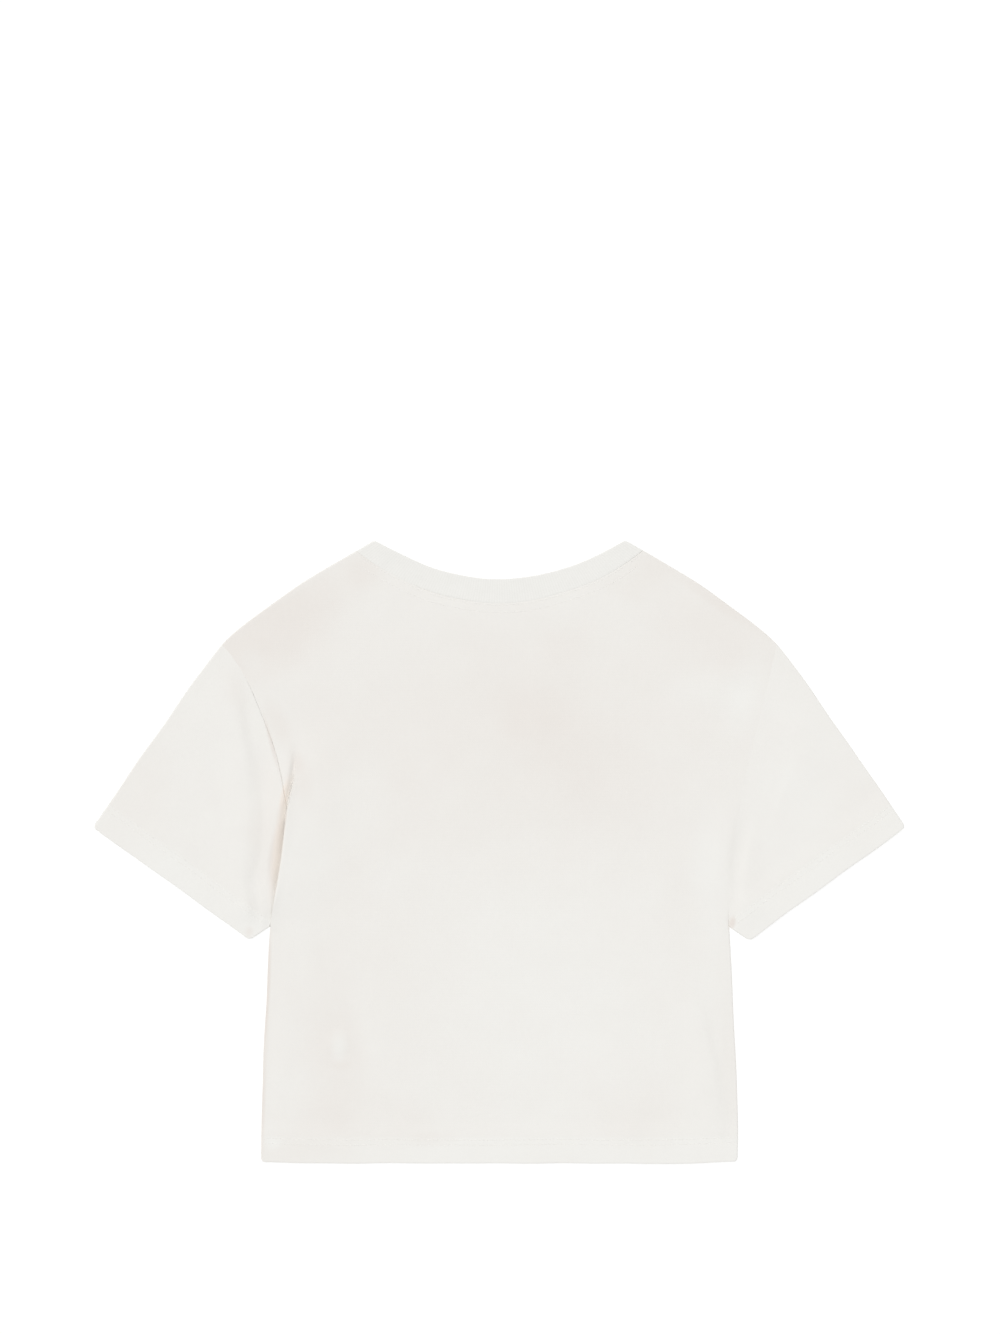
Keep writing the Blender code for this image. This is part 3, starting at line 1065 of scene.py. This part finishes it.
@dataclass(frozen=True)
class CottonRib:
    """Cotton one-by-one rib, doubled at the neck: matt, a little brighter than jersey."""

    name: str = "cotton_rib_knit"
    # colours of the wales' tops and of the painted shade in the furrows between them
    high: str = "#F2F1ED"
    furrow: str = "#EEEDE9"
    pitch: float = 2.2  # wales are about 1.6 apart: drawn wider so that they show
    course: float = 1.3  # a course is about 0.6: drawn coarser so that it shows

    def material(self) -> Material:
        """Makes the material.

        Returns:
            The material.
        """
        made, tree, shader = new_material(self.name)
        axes = add(tree, "SeparateXYZ", {0: add(tree, "UVMap", uv_map="Wales")}).outputs
        wales = stripes(tree, axes[0], self.pitch, "COSINE")
        where = add(tree, "TexCoord").outputs["Object"]
        mottle = add(tree, "TexNoise", {"Vector": where, "Scale": 160.0, "Detail": 4.0})  # 6 across
        # painted shade in the furrows between the wales, lighter on their tops, mixed with a random mottle
        mixed = add(tree, "Math", {0: wales, 1: 0.35, 2: mottle}, operation="MULTIPLY_ADD")
        shades = {0: mixed, 6: linear(self.furrow), 7: linear(self.high)}
        colour = add(tree, "Mix", shades, data_type="RGBA").outputs[2]
        rough = add(tree, "MapRange", {0: mottle, 1: 0.3, 2: 0.7, 3: 0.84, 4: 0.95})
        courses = stripes(tree, axes[1], self.course)
        bump = add(tree, "Bump", {"Height": courses, "Strength": 0.35, "Distance": 0.05 * MM})
        feed(shader, WASHED_COTTON | {"Base Color": colour, "Roughness": rough, "Normal": bump})
        return made


@dataclass(frozen=True)
class SpunThread:
    """Spun polyester sewing thread, twisted and dyed to match: a faint lustre."""

    name: str = "spun_polyester_thread"
    # colours of the plies' crowns and of the painted shade in the grooves between them
    light: str = "#F5F4F0"
    dark: str = "#F1EFEA"
    twist: float = 1.979  # plies cross about 0.6 apart: drawn coarser so that they show

    def material(self) -> Material:
        """Makes the material.

        Returns:
            The material.
        """
        made, tree, shader = new_material(self.name)
        where = add(tree, "TexCoord").outputs["Object"]
        scale = 2 * math.pi / (10 * self.twist * MM)  # this texture has ten waves where others have one
        twist = {"Vector": where, "Scale": scale, "Distortion": 1.5}
        plies = add(tree, "TexWave", twist, bands_direction="DIAGONAL").outputs[1]
        # painted shade in the grooves between the plies, lighter on their crowns
        shades = {0: plies, 6: linear(self.dark), 7: linear(self.light)}
        colour = add(tree, "Mix", shades, data_type="RGBA").outputs[2]
        bump = add(tree, "Bump", {"Height": plies, "Strength": 0.5, "Distance": 0.05 * MM})
        feed(shader, {"Base Color": colour, "Normal": bump, "Roughness": 0.6, "Sheen Weight": 0.1})
        return made


@dataclass
class StitchRow:
    """A row of straight stitches along points on a face of the cloth."""

    points: Array  # on the face, close together, in metres
    outward: int  # 1 where the face looks up, -1 where it looks down
    length: float = 2.5
    pitch: float = 3.1
    radius: float = 0.24
    sunk: tuple[float, float] = (0.75, 1.4)  # share of its radius, above and below the shirt
    profile: tuple[float, ...] = (0.35, 0.85, 1.0, 0.85, 0.35)  # shares of the radius along it
    around: int = 6

    def rings(self) -> Array:
        """Points of every stitch.

        Returns:
            The points in metres, by stitch, ring and place round the ring.
        """
        line = Line(self.points)
        count = int(line.length / (self.pitch * MM))
        middles = (np.arange(count) + 0.5) * line.length / count
        shares = np.linspace(-0.5, 0.5, len(self.profile))
        centre = line.at(middles[:, None] + shares * self.length * MM)
        run = unit(centre[:, -1] - centre[:, 0])
        aside = unit(np.cross(run, (0.0, 0.0, float(self.outward))))
        up = np.cross(aside, run)
        size = np.array(self.profile) * self.radius * MM
        sunk = self.sunk[0] if self.outward > 0 else self.sunk[1]
        centre = centre + up[:, None] * (size - sunk * self.radius * MM)[:, None]
        turn = np.linspace(0.0, 2 * math.pi, self.around, endpoint=False)[:, None]
        ring = aside[:, None] * np.cos(turn) + up[:, None] * np.sin(turn)
        return centre[:, :, None] + ring[:, None] * size[:, None, None]


def stitches_object(name: str, rows: Sequence[StitchRow]) -> Object:
    """One joined mesh of all the stitches in some rows.

    Args:
        name: The object's name.
        rows: The rows of stitches.

    Returns:
        The new object.
    """
    rings = np.concatenate([row.rings() for row in rows])
    ids = np.arange(rings[..., 0].size).reshape(rings.shape[:3])
    faces = grid_faces(np.concatenate((ids, ids[:, :, :1]), 2)).tolist()
    return mesh_object(name, rings, faces + ids[:, 0, ::-1].tolist() + ids[:, -1].tolist())


@dataclass
class Panel:
    """The back or the front: one layer from the hem to the shoulders and neck."""

    name: str
    layer: Layer
    drape: Drape
    neck: Line
    left_armhole: Line = ARMHOLE  # as on the right half, and only where it is sewn
    pleat: Line | None = None  # the edge below it that is folded over the sleeve
    step: float = 2.6
    lip: float = 2.0  # how much thicker the cloth lies along that edge
    lip_width: float = 9.0
    lip_round: float = 2.4  # how far from its edge it draws together
    lip_gap: float = 0.06  # air between it and the sleeve
    lip_starts: tuple[float, float] = (196.0, 232.0)  # the levels over which it swells
    lip_ends: tuple[float, float] = (288.0, 262.0)  # the level where it has gone, and whole below
    furrow: float = 0.02  # how far a row of stitches pulls the cloth in
    row_inset: float = 1.4  # how far a row along the hem stops from the sides
    corner: float = 3.2  # how far from a corner of the hem its edges start to turn
    bend_power: int = 3  # the higher, the later the levels take the bend of the top edge
    hem_ripple: Ripples = Ripples(seed=47, wavelength=11.0, height=0.05)

    def __post_init__(self) -> None:
        """Works out the outline, and where the cloth rolls or sinks to a seam."""
        below = (SIDE,) if self.pleat is None else (SIDE, self.pleat)
        self.left = Line.joined(*below, self.left_armhole).mirrored()
        self.right = Line.joined(SIDE, ARMHOLE)
        self.sunk = (ARMHOLE, self.left_armhole.mirrored(), self.neck)
        shoulders = (SHOULDER, SHOULDER.mirrored())
        self.top_edge = Line.joined(shoulders[1], self.neck, SHOULDER.reversed())
        self.rolls = (SIDE, SIDE.mirrored(), *shoulders)
        self.neck_rows = NECK_ROWS if self.layer is Layer.UPPER else NECK_ROWS[:1]

    def plan(self, columns: Array, levels: Array) -> Array:
        """Spots of the panel.

        Args:
            columns: Shares of the width, from left to right.
            levels: Heights up the side edges.

        Returns:
            A grid of spots, by level and column.
        """
        level = levels[:, None]
        from_left, from_right = (
            np.interp(level, edge.points[:, 1], edge.points[:, 0]) for edge in (self.left, self.right)
        )
        across = from_left + (from_right - from_left) * columns
        tip = SHOULDER_TIP.across
        top = np.interp(-tip + 2 * tip * columns, *self.top_edge.points.T)
        rise = (level / SHOULDER_TIP.up) ** self.bend_power
        return np.stack((across, level + (top - SHOULDER_TIP.up) * rise), -1)

    def faces(self, spots: Array) -> tuple[Array, Array]:
        """Heights of the outer and the inner face.

        Args:
            spots: Spots of the panel.

        Returns:
            Both heights at each spot.
        """
        drape = self.drape
        middle, half = drape.span(self.name, spots)
        thick = drape.thickness(self.name, spots)
        edge = np.minimum.reduce([line.distance(spots, NEAR) for line in self.rolls])
        roll, inner_roll = rolled(edge, JERSEY)
        outer = SEAM_GAP + (half - SEAM_GAP) * roll
        if self.layer is Layer.UPPER:
            inner = SEAM_GAP + np.maximum(half - thick - SEAM_GAP, 0.0) * inner_roll
        else:
            inner = np.maximum(SEAM_GAP, half - thick) * inner_roll
        outer = outer - sum(drape.groove(line, spots) for line in self.sunk) * roll
        outer, inner = drawn_in(outer, inner, fold_share(spots[..., 1], FOLD))
        if self.pleat is not None:
            outer, inner = self.lip_faces(spots, middle, outer, inner)
        outer = outer - self.stitch_furrows(spots)
        side = self.layer.value
        return middle + side * outer, middle + side * inner

    def lip_faces(self, spots: Array, middle: Array, outer: Array, inner: Array) -> tuple[Array, Array]:
        """Both faces with the pleat's folded lip, thicker and resting on the sleeve.

        Args:
            spots: Spots of the panel.
            middle: Height half-way through the shirt.
            outer: The outer face's height from the middle.
            inner: The inner face's height from the middle.

        Returns:
            Both heights from the middle, drawn together at the fold.
        """
        up = spots[..., 1]
        distance = self.pleat.mirrored().distance(spots, 12.0)
        lip = self.lip * smooth(1.0 - distance / self.lip_width)
        lip = lip * ramp(up, *self.lip_starts) * ramp(up, *self.lip_ends)
        resting = self.drape.top("sleeve_left", spots) - middle + self.lip_gap
        deepest = np.minimum(inner, np.maximum(inner - lip, resting))
        share = 1.0 - np.clip(lip, 0.0, 1.0) * (1.0 - fold_share(distance, self.lip_round))
        return drawn_in(outer, deepest, share)

    def stitch_furrows(self, spots: Array) -> Array:
        """How far the rows of stitches pull the outer face in.

        Args:
            spots: Spots of the panel.

        Returns:
            The depth at each spot.
        """
        up = spots[..., 1]
        from_rows = np.abs(up - sum(HEM_ROWS) / 2)
        ripple = self.hem_ripple.lift(spots * (1.0, 0.4)) * smooth(1.0 - from_rows / 14.0)
        if self.layer is Layer.LOWER:
            ripple = np.minimum(ripple, 0.0)  # it can't sink into the table
        from_neck = self.neck.distance(spots, 14.0)
        furrow = sum(bell(up - row, 0.9) for row in HEM_ROWS)
        furrow = furrow + sum(bell(from_neck - row, 0.8) for row in self.neck_rows)
        return self.furrow * furrow - ripple

    def grids(self) -> tuple[Array, Array]:
        """Columns and levels, finer near the edges, seams and hem.

        Returns:
            Shares of the width, and heights up the side edges.
        """
        tip, neck = SHOULDER_TIP.across, NECK_SEAM_END.across  # each band: its width and step
        outer_part = graded(tip - neck, self.step, ((13.0, 0.9), (6.0, 1.6)))
        neck_part = graded(2 * neck, self.step, ((12.0, 1.3), (12.0, 1.3)))
        across = (outer_part[:-1], tip - neck + neck_part[:-1], 2 * tip - outer_part[::-1])
        levels = graded(SHOULDER_TIP.up, self.step, ((22.0, 0.9), (9.0, 0.8)))
        return np.concatenate(across) / (2 * tip), levels

    def build(self) -> Object:
        """Makes the panel's closed mesh.

        Returns:
            The new object.
        """
        columns, levels = self.grids()
        inset = 0.25 / SHOULDER_TIP.across
        inner_columns = inset + columns * (1 - 2 * inset)
        inner_levels = levels * (1.0 - 0.6 / SHOULDER_TIP.up)
        faces = []
        for index, grid in enumerate(((columns, levels), (inner_columns, inner_levels))):
            spots = self.plan(*grid)
            height = self.faces(spots)[index]
            for side in (1, -1):
                corner = Place(side * HEM_CORNER.across, 0.0)
                spots = corner_rounded(spots, corner, 90, 90 + side * 90, self.corner)
            faces.append(self.drape.laid(spots, height))
        return cloth_object(self.name, *faces, is_tube=False)

    def hem_stitches(self) -> list[StitchRow]:
        """Sews the hem.

        Returns:
            The rows of stitches along it.
        """
        end = HEM_CORNER.across - self.row_inset
        across = np.arange(-end, end, ROW_STEP)
        return [self.stitched(np.stack((across, np.full(len(across), up)), -1)) for up in HEM_ROWS]

    def neck_stitches(self) -> list[StitchRow]:
        """Sews along the neck seam.

        Returns:
            The rows of stitches beside it.
        """
        rows = []
        for aside in self.neck_rows:
            start = ROW_END + aside
            marks = np.arange(start, self.neck.length - start, ROW_STEP)
            rows.append(self.stitched(self.neck.beside(marks, -aside)))
        return rows

    def stitched(self, spots: Array) -> StitchRow:
        """A row of stitches through the spots, on the outer face."""
        return StitchRow(self.drape.laid(spots, self.faces(spots)[0]), self.layer.value)


@dataclass
class Sleeve:
    """A flattened tube from the armhole to the cuff, on one side of the shirt."""

    name: str
    side: int  # 1 on the wearer's right, -1 on the left
    drape: Drape
    upper_armhole: Line  # of the right half, as all its seams are
    step: float = 2.3
    depth: float = 200.0  # from the underarm to the shoulder, about
    under_turn: float = 1.8  # how much more sharply it turns at the seam under the arm
    furrow: float = 0.05  # how far a row of stitches pulls the cloth in
    row_inset: float = 1.6  # how far a row stops from the fold along the top

    def plan(self, shares: Array, alongs: Array, layer: Layer) -> Array:
        """Spots of the sleeve.

        Args:
            shares: Shares from the underarm to the shoulder.
            alongs: Shares from the armhole to the cuff.
            layer: The upper or the lower layer.

        Returns:
            A grid of spots, by along and share.
        """
        share = shares[None, :, None]
        along = alongs[:, None, None]
        armhole = ARMHOLE.at(shares * ARMHOLE.length)[None]
        cuff = CUFF.at(shares * CUFF.length)[None]
        under = SLEEVE_UNDER.at(alongs * SLEEVE_UNDER.length)[:, None]
        over = SLEEVE_TOP.at(alongs * SLEEVE_TOP.length)[:, None]
        corners = (UNDERARM * (1 - share) + SHOULDER_TIP * share) * (1 - along)
        corners = corners + (CUFF_INNER * (1 - share) + CUFF_OUTER * share) * along
        spots = armhole * (1 - along) + cuff * along + under * (1 - share) + over * share - corners
        if layer is Layer.UPPER:
            line = self.upper_armhole
            spots = spots + (line.at(shares * line.length)[None] - armhole) * (1 - along) ** 2
        return spots * (self.side, 1.0)

    def faces(self, spots: Array, layer: Layer) -> tuple[Array, Array]:
        """Heights of the outer and the inner face of a layer.

        Args:
            spots: Spots of the sleeve.
            layer: The upper or the lower layer.

        Returns:
            Both heights at each spot.
        """
        drape = self.drape
        right = on_right(spots)
        middle, half = drape.span(self.name, spots)
        under = self.under_turn * SLEEVE_UNDER.distance(right, NEAR)
        roll, inner_roll = rolled(np.minimum(SLEEVE_TOP.distance(right, NEAR), under), JERSEY)
        outer = SEAM_GAP + (half - SEAM_GAP) * roll
        thick = drape.thickness(self.name, spots)
        inner = SEAM_GAP + np.maximum(half - thick - SEAM_GAP, 0.0) * inner_roll
        armhole = self.upper_armhole if layer is Layer.UPPER else ARMHOLE
        outer = outer - drape.groove(armhole if self.side > 0 else armhole.mirrored(), spots) * roll
        from_cuff = CUFF.distance(right)
        outer, inner = drawn_in(outer, inner, fold_share(from_cuff, FOLD))
        furrow = sum(bell(from_cuff - row, 1.1) for row in CUFF_ROWS)
        outer = outer - self.furrow * furrow * smooth(armhole.distance(right, NEAR) / NEAR)
        return middle + layer.value * outer, middle + layer.value * inner

    def build(self) -> Object:
        """Makes the sleeve's closed mesh.

        Returns:
            The new object.
        """
        around = graded(self.depth, self.step, ((5.0, 0.9), (5.0, 0.9))) / self.depth
        alongs = graded(SLEEVE_TOP.length, self.step, ((10.0, 0.9), (24.0, 0.9))) / SLEEVE_TOP.length
        inset = 0.6 / self.depth
        faces = []
        for index, shares in enumerate((around, inset + around * (1 - 2 * inset))):
            halves = []
            for layer in Layer:
                spots = self.plan(shares, alongs, layer)
                height = self.faces(spots, layer)[index]
                points = self.drape.laid(self.corners_rounded(spots), height)
                halves.append(points[:, :: layer.value])
            faces.append(np.hstack(halves))
        return cloth_object(self.name, *faces, is_tube=True)

    def corners_rounded(self, spots: Array) -> Array:
        """The spots with the cuff's two corners rounded."""
        right = corner_rounded(spots * (self.side, 1.0), CUFF_OUTER, 124, CUFF_HEADING + 180, 3.6)
        return corner_rounded(right, CUFF_INNER, 145, CUFF_HEADING, 3.5) * (self.side, 1.0)

    def cuff_stitches(self) -> list[StitchRow]:
        """Sews the cuff.

        Returns:
            The rows of stitches round it, on both layers.
        """
        rows = []
        for layer in Layer:
            for aside in CUFF_ROWS:
                spots = CUFF.beside(np.arange(0.0, CUFF.length, ROW_STEP), aside)
                from_top, _, top_side = SLEEVE_TOP.follow(spots, FAR)
                from_seam, _, seam_side = ARMHOLE.follow(spots, FAR)
                inside = (from_top > self.row_inset) & (top_side < 0)
                inside &= (from_seam > ROW_END) & (seam_side < 0)
                spots = spots[inside] * (self.side, 1.0)
                points = self.drape.laid(spots, self.faces(spots, layer)[0])
                rows.append(StitchRow(points, layer.value))
        return rows


@dataclass
class NeckRib:
    """The doubled rib round the neck: over the back, then under along the front."""

    drape: Drape
    name: str = "neck_rib"
    step: float = 0.44
    pitch: float = 2.2
    relief: float = 0.04  # height of a wale from its mean
    nose: float = 1.2  # how far from the neck edge its faces draw together
    groove: tuple[float, float] = (0.15, 0.6)  # depth along the seam, and more where it is pulled
    insets: tuple[float, float] = (0.4, 0.9)  # of the inner face, across and along the rib

    @staticmethod
    def borders(layer: Layer) -> tuple[Line, Line]:
        """Finds what a layer runs between.

        Args:
            layer: The upper or the lower layer.

        Returns:
            Its seam and its neck edge, from left to right.
        """
        if layer is Layer.UPPER:
            return BACK_NECK_SEAM, BACK_NECK_EDGE
        return FRONT_NECK_SEAM, FRONT_NECK_EDGE

    def faces(self, spots: Array, layer: Layer) -> tuple[Array, Array]:
        """Heights of the outer and the inner face of a layer.

        Args:
            spots: Spots of the rib.
            layer: The upper or the lower layer.

        Returns:
            Both heights at each spot.
        """
        middle, half = self.drape.span(self.name, spots)
        roll, inner_roll = rolled(RIB_TURN.distance(on_right(spots), 6.0), RIB)
        seam_line, edge_line = self.borders(layer)
        usual, at_pull = self.groove
        depth = usual + at_pull * self.drape.neck_pull(spots)
        depth = depth * (1 - quarter_round(seam_line.distance(spots, NEAR), RIB))
        outer = SEAM_GAP + (half - SEAM_GAP - depth) * roll
        inner = SEAM_GAP + (half - RIB - SEAM_GAP) * inner_roll
        outer, inner = drawn_in(outer, inner, fold_share(edge_line.distance(spots, NEAR), self.nose))
        return middle + layer.value * outer, middle + layer.value * inner

    def side(self, layer: Layer, index: int) -> tuple[Array, Array]:
        """One face of a layer.

        Args:
            layer: The upper or the lower layer.
            index: 0 for the outer face and 1 for the inner one.

        Returns:
            Its points, and their places in the pattern of wales, in metres. Both go
            from left to right over the back and return along the front.
        """
        seam_line, edge_line = self.borders(layer)
        widths = graded(BAND, 1.1, ((2.0, 0.7), (2.0, 0.7))) / BAND
        shares = graded(seam_line.length, self.step, ((3.0, 0.3), (3.0, 0.3))) / seam_line.length
        across, along = (index * inset for inset in self.insets)
        widths = (across + widths * (BAND - 2 * across)) / BAND
        shares = (along + shares * (seam_line.length - 2 * along)) / seam_line.length
        marks = shares * seam_line.length
        width = widths[:, None, None]
        at_edge = edge_line.at(shares * edge_line.length)
        spots = seam_line.at(marks) * (1 - width) + at_edge * width
        height = self.faces(spots, layer)[index]
        if index == 0:
            height = height + layer.value * self.wales(spots, widths, marks)
        points = self.drape.laid(self.peaks_rounded(spots), height)
        start = 0.0 if layer is Layer.UPPER else BACK_NECK_SEAM.length
        pattern = np.stack(np.meshgrid((start + marks) * MM, widths * BAND * MM), -1)
        return points[:, :: layer.value], pattern[:, :: layer.value]

    def build(self) -> Object:
        """Makes the rib's closed mesh, a flattened ring.

        Returns:
            The new object.
        """
        faces = [[self.side(layer, index) for layer in Layer] for index in (0, 1)]
        outer, inner = (np.hstack([points for points, _ in sides]) for sides in faces)
        made = cloth_object(self.name, outer, inner, is_tube=True)
        pattern = np.hstack([places for _, places in faces[0]]).reshape(-1, 2)
        corners = np.zeros(len(made.data.loops), np.int32)
        made.data.loops.foreach_get("vertex_index", corners)
        places = np.vstack((pattern, pattern))[corners].astype(np.float32)
        made.data.uv_layers.new(name="Wales").data.foreach_set("uv", places.ravel())
        return made

    def wales(self, spots: Array, widths: Array, marks: Array) -> Array:
        """How far each wale stands out, fading into the seam, the fold and the turns.

        Args:
            spots: Spots of the rib.
            widths: Shares from the seam to the neck edge.
            marks: Lengths along the seam.

        Returns:
            The height at each spot.
        """
        wave = np.cos(2 * math.pi * marks / self.pitch)
        fade = smooth(widths / 0.08) * smooth((1 - widths) / 0.05)
        turn = smooth(RIB_TURN.distance(on_right(spots), 6.0) / 3.0)
        return self.relief * wave * fade[:, None] * turn

    @staticmethod
    def peaks_rounded(spots: Array) -> Array:
        """Rounds the peak at each shoulder end of the neck.

        Args:
            spots: Spots of the rib.

        Returns:
            The spots, moved near the peaks.
        """
        for _ in ("right", "left"):
            spots = corner_rounded(spots, NECK_EDGE_END, -28, 206, 2.0) * (-1.0, 1.0)
        return spots


@dataclass
class Shirt:
    """The whole shirt: its pieces, sewing and finishes."""

    drape: Drape = Drape()

    def __post_init__(self) -> None:
        """Lays out the pieces."""
        puckered = PUCKERED_ARMHOLE.above(PLEAT_TOP.up)
        self.back = Panel("back", Layer.UPPER, self.drape, BACK_NECK_SEAM, puckered, PLEAT_EDGE)
        self.front = Panel("front", Layer.LOWER, self.drape, FRONT_NECK_SEAM, step=3.0)
        self.sleeves = (
            Sleeve("sleeve_left", -1, self.drape, Line.joined(PLEAT_FLAP, puckered)),
            Sleeve("sleeve_right", 1, self.drape, ARMHOLE),
        )
        self.rib = NeckRib(self.drape)

    def build(self) -> None:
        """Makes every piece and its stitches, and gives each its finish."""
        pieces = (self.back, self.front, *self.sleeves, self.rib)
        made = {piece.name: piece.build() for piece in pieces}
        sewing = {}
        for panel in (self.back, self.front):
            sewing[f"{panel.name}_hem_stitches"] = panel.hem_stitches()
            sewing[f"{panel.name}_neck_stitches"] = panel.neck_stitches()
        for sleeve in self.sleeves:
            sewing[f"{sleeve.name}_cuff_stitches"] = sleeve.cuff_stitches()
        made |= {name: stitches_object(name, rows) for name, rows in sewing.items()}
        self.dress(made)
        self.declare(made)

    @staticmethod
    def dress(made: dict[str, Object]) -> None:
        """Gives every piece its material and body.

        Args:
            made: Every piece, by its name.
        """
        hem = HEM_Y + (HEM_WIDTH + 1.4) * MM  # it looks doubled a little past its edge
        turn = math.radians(CUFF_HEADING)
        cuff = (CUFF_INNER.up * MM + HEM_Y) * math.cos(turn) - CUFF_INNER.across * MM * math.sin(turn)
        cuff += CUFF_WIDTH * MM
        left = (CUFF_HEADING, cuff, LEFT_SLEEVE_TONE_AND_PAINTED_SHADING, PLEAT_PAINTED_BOUNCE)
        finishes = {
            "back": CottonJersey("cotton_jersey_back", 0.0, hem, BACK_TONE_AND_PAINTED_SHADING, PLEAT_PAINTED_BOUNCE),
            "front": CottonJersey("cotton_jersey_front", 0.0, hem),
            "sleeve_left": CottonJersey("cotton_jersey_sleeve_left", *left),
            "sleeve_right": CottonJersey(
                "cotton_jersey_sleeve_right", -CUFF_HEADING, cuff, RIGHT_SLEEVE_TONE_AND_PAINTED_SHADING
            ),
            "neck_rib": CottonRib(),
        }
        thread = SpunThread().material()
        for name, piece in made.items():
            material = finishes[name].material() if name in finishes else thread
            piece.data.materials.append(material)
            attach(piece, "root")
            if name in finishes:
                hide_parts(name)
            log.info("%s: %d faces", name, len(piece.data.polygons))

    @staticmethod
    def declare(made: dict[str, Object]) -> None:
        """Does nothing with the pieces.

        Args:
            made: Every piece, by its name. Not used.
        """


@dataclass
class Studio:
    """A plain white sweep, soft lamps and a camera straight above."""

    view_height: float = 2.4  # metres from the table to the camera
    view_length: float = 1.0672  # metres of table along the view's long side
    view_aside: float = 0.0004  # metres across from the shirt's middle to the view's middle
    view_up: float = 0.1484  # and metres up
    sensor: float = 36.0
    sky: float = 0.648  # strength of the even light
    sun: float = 1.17  # strength of the lamp

    def build(self) -> None:
        """Makes the floor, the light and the camera."""
        self.floor()
        self.world()
        self.lamp()
        self.camera()

    @staticmethod
    def floor() -> None:
        """A wide matt sheet that shows white, and keeps the shirt's shadow."""
        bpy.ops.mesh.primitive_grid_add(x_subdivisions=8, y_subdivisions=8, size=8.0)
        floor = bpy.context.object
        floor.name = "floor"
        made, tree, _ = new_material("matt_white_sweep")
        tree.nodes.clear()
        grain = add(tree, "TexNoise", {"Scale": 3.0, "Detail": 2.0})
        shades = {0: grain, 6: linear("#9E9E9D"), 7: linear("#A3A3A2")}
        tint = add(tree, "Mix", shades, data_type="RGBA").outputs[2]
        strength = add(tree, "MapRange", {0: seen(tree), 3: 0.72, 4: 0.70})
        glow = add(tree, "Emission", {"Strength": strength})
        both = add(tree, "AddShader", {0: add(tree, "BsdfDiffuse", {"Color": tint}), 1: glow})
        add(tree, "OutputMaterial", {"Surface": both})
        floor.data.materials.append(made)

    def world(self) -> None:
        """An even sky, white where it is seen."""
        world = bpy.data.worlds.new("studio")
        bpy.context.scene.world = world
        world.use_nodes = True
        tree = world.node_tree
        strength = add(tree, "MapRange", {0: seen(tree), 3: self.sky, 4: 1.0})
        feed(tree.nodes["Background"], {"Color": (1.0, 1.0, 1.0, 1.0), "Strength": strength})

    def lamp(self) -> None:
        """One broad lamp from above the upper left, as even as a far softbox."""
        data = bpy.data.lights.new("softbox", "SUN")
        data.angle = math.radians(50)
        data.energy = self.sun
        lamp = in_scene("softbox", data)
        lamp.location = (-0.7, 0.85, 2.4)
        lamp.rotation_euler = (-lamp.location).to_track_quat("-Z", "Y").to_euler()

    def camera(self) -> None:
        """A long lens straight above the table, with the neck towards the top."""
        data = bpy.data.cameras.new("camera")
        data.sensor_width = self.sensor
        data.lens = self.sensor * self.view_height / self.view_length
        camera = in_scene("camera", data)
        middle = (cad_box[0] + cad_box[1]) / 2
        camera.location = Vector((middle.x + self.view_aside, middle.y + self.view_up, self.view_height))
        bpy.context.scene.camera = camera


def main() -> None:
    """Builds the studio and the shirt."""
    logging.basicConfig(level=logging.INFO, format="%(name)s: %(message)s")
    bpy.context.scene.view_settings.view_transform = "Standard"
    Studio().build()
    Shirt().build()


if __name__ == "__main__":
    main()
